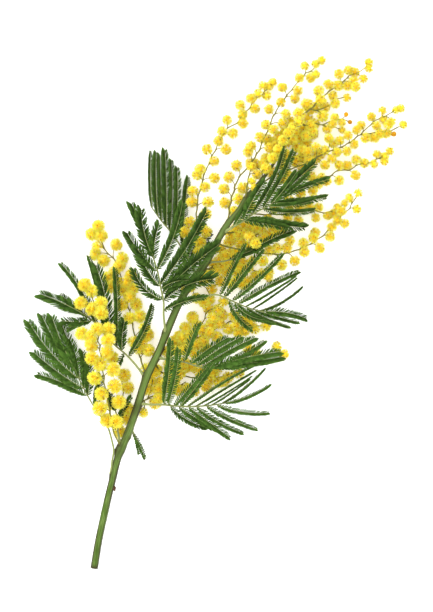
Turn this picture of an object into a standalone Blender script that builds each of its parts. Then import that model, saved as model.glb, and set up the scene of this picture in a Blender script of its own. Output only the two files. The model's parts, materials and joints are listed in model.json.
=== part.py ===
"""A cut sprig of mimosa in flower, lying on a flat surface.

The sprig is seen from above: +Z is up, +Y runs from the cut end to the crown, and the
origin is the middle of the sprig's footprint, on the surface. Plan places are read on a
grid whose x runs right and whose y runs down; heights are millimetres over the surface.
"""

import math

import bmesh
import bpy
from mathutils import Matrix, Vector

# Driving dimensions, in metres.
MM = 0.001
GRID_STEP = 0.6 * MM
SEAT_GAP = 0.35 * MM
HEAD_WIDTH = 6.6 * MM
SPRAY_AXIS_RADIUS = 0.55 * MM
SPRAY_TIP_RADIUS = 0.35 * MM
MIDRIB_RADIUS = 0.65 * MM
MIDRIB_TIP_RADIUS = 0.35 * MM
STRIP_THICKNESS = 0.9 * MM

# The plan grid's point that lies over the origin.
CENTRE_X = 216.0
CENTRE_Y = 312.8

# Small height steps that keep neighbouring heads from lying in one plane, in millimetres.
HEAD_LIFTS = (0.7, -0.9, 1.1, -0.4, 0.2)
# How far back along the axis a side stalk leaves, as a share of the head's distance.
SIDE_STALK_LEAN = 0.6
HEAD_SIDES = 4
HEAD_RINGS = 3
WELD_DISTANCE = 0.000001
# Places along a leaf's side strip, and its width there as a share of its full width.
STRIP_SHARES = (0.0, 0.42, 1.0)
STRIP_SWELL = (0.4, 1.0, 0.6)

# Main stem: plan x, plan y, height and radius in millimetres, from the cut end up.
STEM_ROUTE = (
    (93.5, 570, 2.2, 2.15), (98.5, 540, 3.3, 2.05), (107.2, 500, 5.3, 2.05), (112.2, 480, 6.5, 2.05),
    (117.2, 460, 7.9, 2.1), (121, 450, 8.8, 2.5), (125, 440, 9.6, 2.2), (136.5, 409, 12.2, 2.3),
    (146, 379, 14.4, 2.25), (159.3, 350, 16.4, 2.05), (167, 331, 17.6, 2.2), (181, 300, 19.5, 2.0),
    (194, 280, 20.6, 2.0), (207.5, 260, 21.6, 1.95), (218, 240, 22.2, 1.9), (227, 225, 22.4, 1.85),
    (239, 210, 22.2, 1.5), (246, 198, 21.7, 1.3), (259, 183, 20.6, 1.05), (268, 172, 19.6, 0.9),
    (277, 158, 18.6, 0.8), (288, 139, 17.2, 0.7), (296, 124, 15.6, 0.6),
)

BUD_PLACE = (115.8, 488.5, 6.2)
BUD_RADIUS = 1.25 * MM
BUD_STRETCH = 1.5

# Leaves. "rib" is the midrib's route from the stem: plan x, plan y, height in millimetres.
# Each strip is its base on the rib, its tip, the tip's height, how far it bows to the left
# as a share of its length, its width in grid steps, and its turn about its own line.
LEAVES = {
    "leaf_top_left": {
        "rib": ((193.5, 273, 15), (188, 257, 11), (180, 245, 10), (170, 231, 9.6), (160, 219, 9.2),
                (150, 205, 8.6)),
        "strips": (
            (152, 208, 150.5, 150, 3.0, 0.02, 3.5, 0), (158, 217, 156, 150, 4.5, 0.02, 6.0, 0),
            (162, 221, 159.5, 153, 2.5, 0.0, 5.0, 0), (166, 227, 164.5, 147, 4.2, -0.01, 7.0, 0),
            (170, 231, 171, 158, 2.6, -0.02, 5.5, 0), (175, 238, 177, 165.5, 4.2, -0.02, 6.0, 0),
            (183, 250, 188.6, 175, 3.0, 0.02, 6.0, 0), (188, 258, 206, 222, 8.0, 0.05, 6.0, 0),
            (190, 262, 213, 232, 7.0, 0.05, 6.0, 0), (192, 267, 211, 243, 8.0, 0.02, 6.0, 0),
            (180, 246, 180, 282, 7.0, 0.08, 8.5, 0)),
    },
    "leaf_front": {
        "rib": ((164.3, 331, 20.5), (163.8, 315, 24), (163.8, 302, 26), (161, 288, 27.5),
                (158, 272, 28.5), (155, 262, 29), (151.5, 252, 29), (145, 241, 28.5)),
        "strips": (
            (151, 251, 130, 201, 25.0, -0.03, 6.5, 0), (154, 258, 141.5, 206, 27.0, 0.06, 7.5, 0),
            (158, 272, 126, 230.5, 24.0, 0.04, 6.5, 0), (161, 287, 137, 244, 26.0, 0.07, 7.0, 0),
            (163.5, 300, 133, 267, 22.0, 0.13, 5.5, 0), (155, 260, 160.5, 222, 28.0, 0.06, 6.0, 0),
            (158, 270, 183, 201, 27.5, -0.05, 6.0, 0), (161, 285, 208, 209, 26.0, -0.03, 7.0, 0),
            (163.5, 301, 218, 279, 25.5, 0.10, 9.0, 0), (163.8, 294, 221, 243.5, 27.0, 0.03, 8.5, 0),
            (162, 289, 189, 280.5, 28.0, 0.10, 5.5, 0), (163.8, 311, 208, 297.5, 25.0, 0.06, 4.5, 0)),
    },
    "leaf_top_right": {
        "rib": ((226.5, 232.5, 24.6), (235, 226, 25.6), (245, 220, 26.4), (255, 213, 27),
                (267, 207, 27.4), (281, 199, 27.2), (295, 192, 26.4), (303, 187, 25.6)),
        "strips": (
            (233, 227, 249, 201, 27.0, -0.03, 5.5, 0), (243, 221, 266, 180.5, 31.0, 0.04, 7.5, 0),
            (252, 215, 285, 148, 27.0, -0.06, 6.5, 0), (262, 209, 294, 150, 25.5, -0.04, 6.5, 0),
            (270, 205, 297, 171, 28.5, -0.03, 6.0, 0), (276, 202, 317, 162, 25.5, 0.02, 9.0, 0),
            (283, 198, 310, 174, 27.5, -0.02, 6.0, 0), (288, 195, 330, 179, 24.0, 0.03, 6.0, 0),
            (295, 192, 316, 184, 25.5, 0.02, 5.0, 0), (274, 204, 328, 197, 23.5, -0.03, 6.5, 0),
            (268, 207, 316, 199.5, 25.5, -0.06, 6.0, 0), (262, 209, 315, 210.5, 22.5, -0.06, 6.0, 0),
            (247, 219, 307.5, 228, 21.0, -0.02, 9.0, 0), (243, 221, 289, 229, 23.5, 0.02, 6.0, 0)),
    },
    "leaf_mid_right": {
        "rib": ((186.5, 303, 20.3), (198, 299.5, 21.4), (209, 295.5, 22.4), (218, 295, 23),
                (228, 299, 23.2), (240, 304.5, 22.8), (252, 309, 22), (266, 312, 21)),
        "strips": (
            (220, 295.5, 245, 243.5, 22.0, 0.02, 5.5, 0), (224, 297, 262.5, 249, 23.5, 0.0, 6.5, 0),
            (232, 301, 283, 253, 20.5, -0.02, 5.5, 0), (238, 304, 300, 271, 19.0, 0.03, 6.0, 0),
            (245, 306.5, 296, 275.5, 20.5, 0.02, 5.0, 70), (252, 309, 297, 277.5, 17.0, 0.02, 4.5, 70),
            (259, 310.5, 302.5, 286, 14.0, -0.08, 4.5, 50), (264, 311.5, 308, 319, 8.0, 0.06, 7.5, 0),
            (254, 309.5, 300, 322.5, 10.0, 0.0, 5.5, 30), (246, 307, 291, 327, 12.5, -0.03, 5.5, 40),
            (239, 304, 276, 323, 15.5, -0.09, 5.5, 40), (229, 299.5, 253, 330, 13.0, -0.08, 6.0, 0),
            (234, 302, 265, 320, 17.5, -0.12, 5.5, 0)),
    },
    "leaf_low_right": {
        "rib": ((161.5, 358.8, 17), (172, 360.5, 18), (184, 362, 19), (197, 366, 19.6), (208, 368, 19.8),
                (218, 366.5, 19.4)),
        "strips": (
            (184, 362, 199, 322, 18.0, 0.03, 6.5, 0), (190, 363.5, 230, 336.5, 18.5, 0.04, 7.5, 0),
            (196, 365, 243, 336, 20.5, 0.03, 7.0, 0), (202, 366.5, 257, 337, 18.5, 0.03, 7.5, 0),
            (206, 367.5, 266, 340, 16.0, -0.05, 6.0, 0), (210, 367.5, 283, 351.5, 17.5, 0.03, 8.5, 0),
            (214, 367, 285, 356.5, 15.0, 0.0, 8.5, 0), (216, 366.7, 270, 362, 16.5, 0.02, 5.5, 0)),
    },
    "leaf_bottom_right": {
        "rib": ((142.8, 404.6, 14.6), (150, 404.5, 15.2), (161, 404.5, 16), (176, 406, 16.6),
                (190, 406.5, 16.6), (202, 406, 16.2), (213, 405, 15.6), (225, 403, 15)),
        "strips": (
            (164, 404.6, 171.5, 338, 23.0, -0.02, 9.0, 0), (168, 405, 179, 347, 24.5, -0.04, 8.0, 0),
            (174, 405.5, 208, 366, 22.5, 0.0, 7.5, 0), (180, 406, 214, 362, 23.5, -0.02, 6.5, 0),
            (187, 406.5, 262, 361, 14.5, 0.05, 4.5, 40), (195, 406.3, 256, 370, 13.0, 0.04, 4.5, 60),
            (203, 406, 252, 376, 13.5, 0.02, 4.5, 70), (211, 405.2, 250, 379, 12.0, 0.03, 4.5, 70),
            (221, 403.8, 265, 368, 9.0, -0.04, 5.0, 50), (224, 403.2, 271, 384, 6.0, -0.05, 5.5, 30),
            (216, 404.6, 270, 413, 4.0, -0.06, 6.0, 0), (206, 405.8, 258, 430, 3.5, -0.03, 6.0, 0),
            (196, 406.3, 244, 434, 2.5, -0.04, 6.0, 0), (188, 406.5, 231, 439, 3.5, 0.0, 7.5, 0),
            (178, 406.2, 219, 431, 5.5, -0.02, 7.0, 0), (170, 405.4, 207, 428, 3.0, -0.08, 7.5, 0)),
    },
    "leaf_bottom_left": {
        "rib": ((109.4, 474, 7.6), (111.0, 462, 8.6), (112.6, 452, 9.6), (111.5, 443, 10.6),
                (107.5, 427, 11.8), (98.6, 414, 12.6), (91, 402, 13.1), (84, 389, 13.2), (78, 377, 13.1),
                (74, 367, 12.9)),
        "strips": (
            (88, 396, 34.5, 374, 3.0, -0.04, 6.5, 0), (84, 389, 31, 350.5, 4.0, 0.03, 7.5, 0),
            (79, 379, 26, 318.5, 3.5, 0.05, 8.5, 0), (74.5, 369, 40, 312.5, 5.0, 0.04, 7.5, 0),
            (75, 370, 50.5, 313, 7.5, 0.03, 8.0, 0), (77, 375, 60, 322, 5.5, -0.03, 8.0, 0),
            (80, 381, 69, 338, 9.0, -0.04, 7.0, 0), (84, 389, 82, 349, 10.0, -0.05, 6.5, 0),
            (88, 396, 88, 358, 11.0, -0.04, 6.5, 0), (94, 407, 101, 373, 12.0, -0.04, 6.0, 0)),
    },
    "leaf_far_left": {
        "rib": ((141.4, 374.5, 15.0), (134, 363, 15.4), (126, 354.5, 15.2), (117, 347, 14.6),
                (107, 337, 13.8), (97, 325, 13.1), (88, 317, 12.6), (79, 311.5, 12)),
        "strips": (
            (83, 314, 36, 293, 3.5, -0.03, 9.5, 0), (90, 319, 58, 294, 5.0, -0.02, 6.0, 0),
            (97, 325, 59, 262, 4.5, -0.06, 6.0, 0), (92, 321, 59, 320.5, 10.5, 0.04, 7.0, 0),
            (88, 317, 66, 330, 11.0, 0.0, 5.0, 0), (105, 334, 88, 255, 10.5, -0.04, 5.0, 0),
            (111, 341, 94.5, 262, 11.5, -0.04, 9.0, 0), (117, 347, 115, 267, 11.5, -0.02, 5.5, 0),
            (128, 357, 153, 304, 13.5, -0.06, 5.5, 0), (122, 351, 125, 319, 13.5, 0.04, 7.5, 0),
            (124, 353, 118.5, 364, 13.5, 0.0, 4.5, 0)),
    },
    "leaf_small": {
        "rib": ((131.6, 431, 8.6), (134, 435, 7.0), (136, 439, 6.0)),
        "strips": ((133, 433, 145, 460, 1.6, 0.03, 6.0, 0), (135, 437, 139, 455, 3.2, 0.02, 5.0, 0)),
    },
    "leaf_hidden_mid": {
        "rib": ((208.8, 263, 19.4), (215, 262, 18), (225, 261, 17.6), (240, 257, 17.5)),
        "strips": ((238, 257.5, 295, 229.5, 17.6, 0.03, 7.5, 0), (229, 260, 262, 247, 17.6, 0.02, 6.0, 0)),
    },
    "leaf_hidden_low": {
        "rib": ((116.6, 443, 11.4), (117.5, 430, 11.6), (117, 418, 11.6), (114, 406, 11.4)),
        "strips": (
            (116, 412, 110, 392, 11.2, 0.03, 6.0, 0), (117.4, 426, 132, 396, 11.4, 0.05, 5.0, 0),
            (117.5, 430, 105, 415, 11.2, 0.03, 5.0, 0)),
    },
}

# Flower sprays. "axis" is the stalk's route: plan x, plan y, height in millimetres.
# "branches" are side axes that start on the stalk. "heads" are plan places; the width of a
# head falls from the first to the second share of HEAD_WIDTH along the stalk.
SPRAYS = {
    "spray_top_left": {
        "axis": ((199.5, 265, 20.2), (198.6, 252, 17), (197, 235, 16), (196, 216, 15.6), (197, 209, 15.2),
                 (199, 194, 14), (205, 173, 12), (213, 154, 10), (220, 140, 9), (228, 128, 8),
                 (237, 122, 7.4), (247, 110, 6.8), (256, 99, 6.2), (264, 92, 5.6), (272, 84, 5)),
        "branches": (),
        "width": (1.08, 0.9),
        "heads": (
            (199.5, 252), (200, 242), (206, 231.5), (185.5, 232), (190, 222), (206, 214), (192, 202),
            (208, 202), (193, 191), (205, 187), (197, 175), (214.5, 178), (200, 169), (214, 161),
            (207, 149), (226, 149), (218.5, 140.5), (222, 131), (233, 133), (227, 119.5), (243, 123),
            (242.5, 114), (240.5, 104.5), (255, 108), (251, 98), (258, 93), (267, 95), (263, 85),
            (269, 85.5), (273, 81.5)),
    },
    "spray_top_centre": {
        "axis": ((227.2, 220, 21), (230, 205, 15.6), (232, 197, 14.6), (236, 184, 13.8), (241, 175, 13.4),
                 (248, 167, 13.2), (256, 156, 13.2), (262, 143, 13.2), (268, 129, 13), (273, 117, 12.6),
                 (279, 106, 11), (287, 95, 9), (294, 86, 7.6), (302, 77.5, 6.6), (307, 72, 6), (314, 68, 5.4),
                 (320, 62, 5)),
        "branches": (),
        "width": (1.05, 0.86),
        "heads": (
            (234, 211.5, 15.6), (225, 203), (238.5, 199), (243, 188), (224, 189), (229, 177), (236.5, 165.5),
            (248, 152), (251, 146), (260, 137), (270, 148), (266, 124.5), (273.5, 129.5), (283, 123),
            (269, 109), (286, 114), (281, 102), (282.5, 87), (295, 98), (298, 90), (299.5, 77), (311, 77),
            (316, 73.5), (305, 65), (316, 63), (322, 59.5)),
    },
    "spray_crown": {
        "axis": ((298, 119.5, 15), (303, 114.5, 14.4), (310, 110, 13.4), (318, 101, 11.6), (326, 94, 10),
                 (335, 87, 8.8), (344, 79.5, 7.8), (352, 74, 6.8), (360, 71, 6.2), (369, 63, 5.4)),
        "branches": (((311, 109.5, 13.1), (320, 109, 10.4), (329, 105, 8), (336, 99, 6.6), (344, 96, 5.6)),),
        "width": (1.12, 0.86),
        "heads": (
            (299, 113.5), (307, 104), (321, 100), (319, 90.5), (329, 84), (333, 95), (338.5, 85),
            (339, 73.5), (348, 85), (354, 80.5), (349, 69.5), (355, 71.5), (356, 86.5), (364, 78),
            (369.3, 61.5), (369.5, 67.5), (323, 115.5), (335.5, 103), (347.5, 97)),
    },
    "spray_crown_side": {
        "axis": ((299, 128.5, 15.2), (306, 124.5, 13.8), (315, 123, 12.6), (322, 124.5, 11),
                 (330, 121, 9.4), (336, 120, 8.4), (342, 118.5, 7.4), (350, 121, 6.4)),
        "branches": (((322, 124.5, 11), (329, 126, 8.8), (336, 127, 6.8), (341, 129, 5.4)),),
        "width": (0.95, 0.72),
        "heads": (
            (311, 125), (313, 131), (333, 123.5), (327.5, 128.5), (335, 117), (342, 122), (342.5, 129.5, 4.6),
            (346.5, 114), (350.5, 121.5)),
    },
    "spray_right_upper": {
        "axis": ((256.5, 188.5, 18.6), (264, 182, 15.4), (276, 174, 13.6), (290, 169.5, 13.2),
                 (297, 166.5, 13.2), (305, 164, 13.2), (316, 158, 13), (328, 152, 12), (341, 147, 10),
                 (350, 142, 8.6), (361, 134, 7.2), (368, 127, 6.4), (376, 120, 5.8), (386, 115, 5.2),
                 (396, 110.5, 4.8)),
        "branches": (((361, 134, 7.2), (370, 132.5, 5.4), (380, 131, 4.8), (391, 130, 4.6),
                      (399, 126, 4.4)),),
        "width": (1.0, 0.82),
        "heads": (
            (283, 166), (287.5, 174), (282, 179), (309.5, 160), (308, 152), (316, 147), (325, 150),
            (325, 165), (332, 158.5), (337, 152), (329, 138), (340, 140), (347, 151), (348, 135, 10.5),
            (354.5, 144), (357, 129.5), (361.5, 124.5), (366, 137.5), (372, 116), (377, 125), (383, 110),
            (384, 119), (389, 124), (392.5, 120.5), (397, 109), (401.5, 107.5), (375, 137), (380.5, 133),
            (387.5, 133), (394.5, 133.5), (404, 124)),
    },
    "spray_right": {
        "axis": ((250, 195.8, 19.4), (262, 195.5, 15), (276, 193, 12.4), (290, 190, 12), (301, 188, 11.6),
                 (313, 182, 10.6), (321, 179, 9.8), (329, 176, 9), (338, 171, 8), (351, 169, 7),
                 (360, 164, 6), (370, 162, 5.2), (384, 157, 4.6)),
        "branches": (),
        "width": (1.02, 0.85),
        "heads": (
            (289, 200), (301, 193), (313, 191), (311, 176), (318, 184), (327, 181), (339.5, 180),
            (339.5, 165), (347.5, 165), (356.5, 159), (356, 175), (365, 162.5), (374.5, 163.5), (377.5, 153.5),
            (385, 161), (385.5, 155.5), (390.5, 150.5)),
    },
    "spray_right_inner": {
        "axis": ((241, 207.5, 20.2), (245, 211.5, 14.4), (254, 213.5, 8.4), (266, 214, 5), (282, 214, 4.8),
                 (299, 211.5, 4.8), (313, 210.5, 4.8), (324, 212, 4.8), (336, 209, 4.8), (344, 204.5, 4.8)),
        "branches": (),
        "width": (1.0, 0.8),
        "heads": (
            (250.5, 205, 9), (268, 219), (275, 208), (288, 217.5), (289.5, 207), (300.5, 207), (299, 220),
            (310, 206), (319, 207), (316, 217.5), (328, 215.5), (334, 213), (337.5, 207), (345, 203)),
    },
    "spray_right_lower": {
        "axis": ((219.5, 244.5, 20.4), (228, 247, 15.4), (245, 250.5, 13.2), (262, 253.5, 12.6),
                 (283, 254, 11.8), (295, 250.5, 10.4), (308, 245, 8.8), (321, 237, 7.4), (333, 225, 8),
                 (341, 217, 10), (347, 211, 11.8), (353, 203, 12.8), (357, 197, 13)),
        "branches": (),
        "width": (1.04, 0.88),
        "heads": (
            (255, 243), (269, 250.5), (263, 261), (277.5, 248), (287, 248), (290, 240.5), (282, 265),
            (295, 261), (304.5, 252), (303.5, 243), (313.5, 238), (315.5, 232.5), (320, 248), (330.5, 236.5),
            (332, 227), (337.5, 220), (345, 223.5), (341.5, 211), (357, 209), (349.5, 198), (358.5, 193)),
    },
    "spray_young": {
        "axis": ((244.6, 196, 23.6), (246.6, 188, 23.8), (247.8, 180, 22.6), (249, 174, 20.4),
                 (252, 168, 18.6)),
        "branches": (),
        "width": (0.74, 0.95),
        "heads": ((254.4, 188, 25.8), (252, 181.5, 24), (257, 174.5, 18.2), (251.5, 167, 17.6)),
    },
    "spray_inner_top": {
        "axis": ((263.2, 179.6, 18.2), (262.5, 174, 11), (264, 168, 6.6), (268, 160, 5), (272, 152, 4.8),
                 (277, 144, 4.8), (281, 136, 4.8), (286, 128, 4.8), (291, 120, 4.8)),
        "branches": (),
        "width": (1.05, 1.0),
        "heads": (
            (270, 171), (256, 164), (266, 158), (275.5, 154), (285.5, 153), (267, 139), (273, 142),
            (279, 136.5), (286, 142), (285, 132), (291.5, 120.5)),
    },
    "spray_inner_crown": {
        "axis": ((278.8, 160.6, 16.8), (284, 159.5, 9.8), (291, 157, 5.4), (297, 151, 4.8), (301, 144, 4.8),
                 (304, 136, 4.8), (307, 128, 4.8), (311, 120, 4.8)),
        "branches": (),
        "width": (1.1, 1.05),
        "heads": (
            (296.5, 161), (303, 157), (297, 146, 6.6), (307, 143), (300, 137), (297, 132.5), (313, 133),
            (303, 126.5), (315, 123), (308, 117)),
    },
    "spray_inner_mid": {
        "axis": ((226.6, 232.8, 20), (232, 232.5, 12), (240, 233, 6.6), (250, 234, 5), (260, 235, 4.8),
                 (270, 236, 4.8), (280, 232, 4.8)),
        "branches": (),
        "width": (1.08, 1.0),
        "heads": (
            (229.5, 241.5, 5.6), (236, 229), (240, 242), (243.5, 225), (251, 233), (248.5, 246), (257, 241),
            (261, 229), (269.5, 234), (283, 228.5)),
    },
    "spray_inner_low": {
        "axis": ((206, 270, 20), (210, 268, 14), (216, 264.5, 7.6), (226, 261, 5), (238, 262, 4.8),
                 (248, 267, 4.8), (258, 271, 4.8), (267, 270, 4.8)),
        "branches": (),
        "width": (1.06, 1.0),
        "heads": (
            (220, 248.5, 5), (229, 253.5, 5), (237, 251.5), (216.5, 271.5), (226.5, 271.5), (243, 262),
            (237, 273), (247, 281), (255.5, 276), (269, 272), (207.5, 276.5)),
    },
    "spray_under_stem": {
        "axis": ((192, 286.5, 17.4), (194.5, 286, 10), (200, 285, 5.6), (208, 285, 4.8), (217, 285, 4.8),
                 (229, 284, 4.8)),
        "branches": (((194.5, 286, 10), (190, 290, 6.4), (186, 292, 4.6)),),
        "width": (1.0, 0.95),
        "heads": (
            (184, 287.5, 4.4), (196, 298, 4.2), (203, 280), (212, 289), (220.5, 281), (231, 284)),
    },
    "spray_mid_right": {
        "axis": ((164.4, 350.5, 15.4), (169, 349, 10.6), (180, 345, 7), (196, 338, 6), (209, 333, 5.4),
                 (216, 329, 5), (224, 325, 4.8), (232, 322, 4.8), (243, 325, 4.8), (254, 327, 4.8)),
        "branches": (((196, 338, 6), (201, 326, 8), (207, 313, 9), (213, 308, 9), (219, 304, 9)),),
        "width": (1.14, 1.05),
        "heads": (
            (168, 352), (179, 337.5), (185.5, 328), (176.5, 350), (189, 347), (203, 342), (206, 349),
            (211, 325), (217, 337), (228.5, 329), (234, 316), (245, 319), (245, 331), (255, 329),
            (266, 326), (192.5, 317.5), (204, 302), (213, 318), (218, 310), (223.5, 301.5), (222.5, 315)),
    },
    "spray_low_inner": {
        "axis": ((141.6, 403.6, 9.8), (147, 399, 7.6), (157, 394.5, 5.4), (165, 391.5, 4.8), (174, 387, 4.8),
                 (186, 382, 4.8)),
        "branches": (((147, 399, 7.6), (150, 394, 5.2), (153, 390, 4.8)),
                     ((144.6, 401.2, 8.6), (144.4, 408, 5.2))),
        "width": (1.14, 1.0),
        "heads": (
            (143, 413), (155, 403.5), (147.5, 390), (151.5, 382), (160, 382), (158, 390), (175, 381.5),
            (178.5, 390.5), (186.5, 388), (194.5, 392)),
    },
    "spray_low_right": {
        "axis": ((155.4, 362.5, 13), (157.4, 367, 9), (162, 373.5, 5.4), (172, 374.5, 4.8), (184, 376, 4.8),
                 (196, 379, 4.8), (208, 379, 4.8), (220, 377, 4.8), (232, 373, 4.8), (244, 364, 4.8),
                 (256, 357, 4.8), (268, 353, 4.8), (280, 350, 4.8)),
        "branches": (),
        "width": (1.12, 1.0),
        "heads": (
            (156, 370.5, 5.6), (147, 369.5, 5.8), (168.5, 365.5), (176, 368), (183.5, 368.5), (191, 366.5),
            (199, 371.5), (206, 387), (210.5, 379.5), (219, 382.5), (216.5, 370), (228, 377.5), (238.5, 373),
            (249, 349), (255.5, 353), (277, 346.5), (284.5, 354.5)),
    },
    "spray_left_back": {
        "axis": ((142.2, 371.5, 12.4), (139.8, 358, 9.6), (136, 343, 7.6), (133, 330, 6), (129, 311, 5),
                 (126, 298, 4.8), (123, 284.5, 4.8), (120, 274, 4.8), (117, 265, 4.8), (111, 255.5, 4.8),
                 (105, 250.5, 4.8), (100.5, 241, 4.8)),
        "branches": (),
        "width": (1.16, 1.12),
        "heads": (
            (148.5, 350.5), (139, 348.5), (147.5, 335), (139.5, 316.5), (129, 318), (121, 305), (136, 304.5),
            (110.5, 287), (123, 290), (132.5, 288.5), (130.5, 275.5), (108, 277), (119, 265.5), (122, 258.5),
            (103.5, 260.5), (116, 244.5), (94.5, 254), (101, 236), (91, 234), (98, 225.5)),
    },
    "spray_left_front": {
        "axis": ((114.6, 444.5, 14.6), (113.5, 431.5, 17), (110.5, 413, 19.4), (108, 400, 21),
                 (105.5, 388, 22.4), (103.5, 374, 23.6), (101, 356, 24.6), (99, 339, 25), (96, 322, 24.6), (95, 306, 23.6),
                 (91, 292, 22.4)),
        "branches": (),
        "width": (1.3, 1.18),
        "heads": (
            (116, 421.5), (107, 420.5), (100, 408), (119, 402), (102, 393.5), (115, 386), (95, 378),
            (113.5, 369.5), (100.5, 364), (92.5, 358), (107.5, 352), (92, 345.5), (108.5, 340), (82, 333.5),
            (91, 337), (98, 329), (109, 329), (101.5, 313), (92.5, 309), (81, 303), (101, 303), (91.5, 291),
            (85, 284.5)),
    },
    "spray_left_low": {
        "axis": ((117.6, 444.6, 6.2), (119, 437, 4.8), (121, 425, 4.8), (122, 410, 4.8), (122.5, 395, 4.8),
                 (121, 380, 4.8), (116, 364, 4.8)),
        "branches": (),
        "width": (1.2, 1.15),
        "heads": (
            (119.5, 432.5, 4.2), (126, 419), (127, 409), (112, 404), (127.5, 388), (124, 375.5), (112, 358)),
    },
}


def place(x, y, height):
    """The point over plan place x, y at a height in millimetres."""
    return Vector(((x - CENTRE_X) * GRID_STEP, (CENTRE_Y - y) * GRID_STEP, height * MM))


def route(rows):
    """The points of a route given as plan x, plan y and height."""
    return [place(*row[:3]) for row in rows]


def new_material(name, colour, roughness):
    """A plain material of one colour."""
    material = bpy.data.materials.new(name)
    material.use_nodes = True
    shader = material.node_tree.nodes["Principled BSDF"]
    shader.inputs["Base Color"].default_value = (*colour, 1.0)
    shader.inputs["Roughness"].default_value = roughness
    shader.inputs["Metallic"].default_value = 0.0
    material.diffuse_color = (*colour, 1.0)
    return material


def add_object(name, mesh, collection):
    """An object for a mesh, in a collection."""
    thing = bpy.data.objects.new(name, mesh)
    collection.objects.link(thing)
    return thing


def tube(name, points, radii, collection, resolution=0, section=None):
    """A closed tube along points, as a mesh object whose caps are welded."""
    curve = bpy.data.curves.new(name, "CURVE")
    curve.dimensions = "3D"
    curve.twist_mode = "Z_UP"
    curve.use_fill_caps = True
    if section is None:
        curve.bevel_depth = 1.0
        curve.bevel_resolution = resolution
    else:
        curve.bevel_mode = "OBJECT"
        curve.bevel_object = section
    line = curve.splines.new("POLY")
    line.points.add(len(points) - 1)
    for knot, point, radius in zip(line.points, points, radii):
        knot.co = (*point, 1.0)
        knot.radius = radius
    return curve_to_mesh(add_object(name, curve, collection), collection)


def curve_to_mesh(source, collection):
    """Turns a curve object into a mesh object of the same name with welded caps."""
    bpy.context.view_layer.update()
    evaluated = source.evaluated_get(bpy.context.evaluated_depsgraph_get())
    mesh = bpy.data.meshes.new_from_object(evaluated)
    weld(mesh)
    name = source.name
    matrix = source.matrix_world.copy()
    bpy.data.objects.remove(source)
    solid = add_object(name, mesh, collection)
    solid.matrix_world = matrix
    return solid


def weld(mesh):
    """Joins a mesh's doubled points and turns its faces outwards."""
    shape = bmesh.new()
    shape.from_mesh(mesh)
    bmesh.ops.remove_doubles(shape, verts=shape.verts, dist=WELD_DISTANCE)
    bmesh.ops.recalc_face_normals(shape, faces=shape.faces)
    shape.to_mesh(mesh)
    shape.free()


def taper(count, first, last):
    """Radii that fall evenly from the first to the last."""
    return [first + (last - first) * index / (count - 1) for index in range(count)]


def nearest_on(points, target):
    """The place on a route nearest to a target in plan: segment number, share along it."""
    best = None
    for index in range(len(points) - 1):
        start = points[index].to_2d()
        step = points[index + 1].to_2d() - start
        share = (target.to_2d() - start).dot(step) / max(step.length_squared, 1e-12)
        share = min(max(share, 0.0), 1.0)
        distance = (start + step * share - target.to_2d()).length
        if best is None or distance < best[0]:
            best = (distance, index, share)
    return best


def walk_back(points, index, share, distance):
    """The point that lies a distance back along a route from a place on it."""
    here = points[index].lerp(points[index + 1], share)
    while distance > 0.0:
        reach = (here - points[index]).length
        if reach >= distance:
            return here.lerp(points[index], distance / reach)
        if index == 0:
            return points[0].lerp(points[1], 0.15)
        distance -= reach
        here = points[index]
        index -= 1
    return here


def seat_on_stem(points, end_radius):
    """Moves a route's first point to its seat, a small gap clear of the stem's side or tip."""
    stem = route(STEM_ROUTE)
    best = None
    for index in range(len(stem) - 1):
        step = stem[index + 1] - stem[index]
        share = min(max((points[0] - stem[index]).dot(step) / step.length_squared, 0.0), 1.0)
        middle = stem[index] + step * share
        distance = (points[0] - middle).length
        if best is None or distance < best[0]:
            radius = STEM_ROUTE[index][3] * (1 - share) + STEM_ROUTE[index + 1][3] * share
            best = (distance, middle, radius * MM)
    distance, middle, radius = best
    if middle == stem[-1]:
        radius = 0.0
    outward = (points[0] - middle).normalized()
    heading = (points[1] - points[0]).normalized()
    rim = end_radius * math.sqrt(max(0.0, 1.0 - heading.dot(outward) ** 2))
    points[0] = middle + outward * (radius + SEAT_GAP + rim)


def look_matrix(start, end):
    """A matrix whose origin lies at the end and whose Z runs on from start to end."""
    turn = (end - start).to_track_quat("Z", "Y").to_matrix().to_4x4()
    return Matrix.Translation(end) @ turn


def make_head(name, centre, radius, root, collection):
    """One round flower head, drawn out on its underside to where it meets its stalk."""
    shape = bmesh.new()
    bmesh.ops.create_uvsphere(
        shape, u_segments=HEAD_SIDES, v_segments=HEAD_RINGS, radius=radius, matrix=look_matrix(root, centre))
    foot = min(shape.verts, key=lambda vert: (vert.co - root).length)
    foot.co = root
    mesh = bpy.data.meshes.new(name)
    shape.to_mesh(mesh)
    shape.free()
    return add_object(name, mesh, collection)


def grow_together(main, pieces):
    """Joins a collection of pieces to the main one in a single solid."""
    join = main.modifiers.new("grown together", "BOOLEAN")
    join.operation = "UNION"
    join.operand_type = "COLLECTION"
    join.collection = pieces
    join.solver = "EXACT"


def guide_collection(name, parent):
    """A collection for pieces that are joined into another and not shown."""
    collection = bpy.data.collections.new(name)
    parent.children.link(collection)
    return collection


def hide_guides(collection):
    """Marks every piece in a collection as a guide."""
    for thing in collection.objects:
        thing.hide_render = True
        thing.display_type = "WIRE"


def head_centre(head, axis_height, number, radius):
    """A head's middle: its own height if it has one, else the stalk's with a small step."""
    if len(head) > 2:
        height = head[2]
    else:
        height = axis_height / MM + HEAD_LIFTS[number % len(HEAD_LIFTS)]
    return place(head[0], head[1], max(height, radius / MM))


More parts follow.
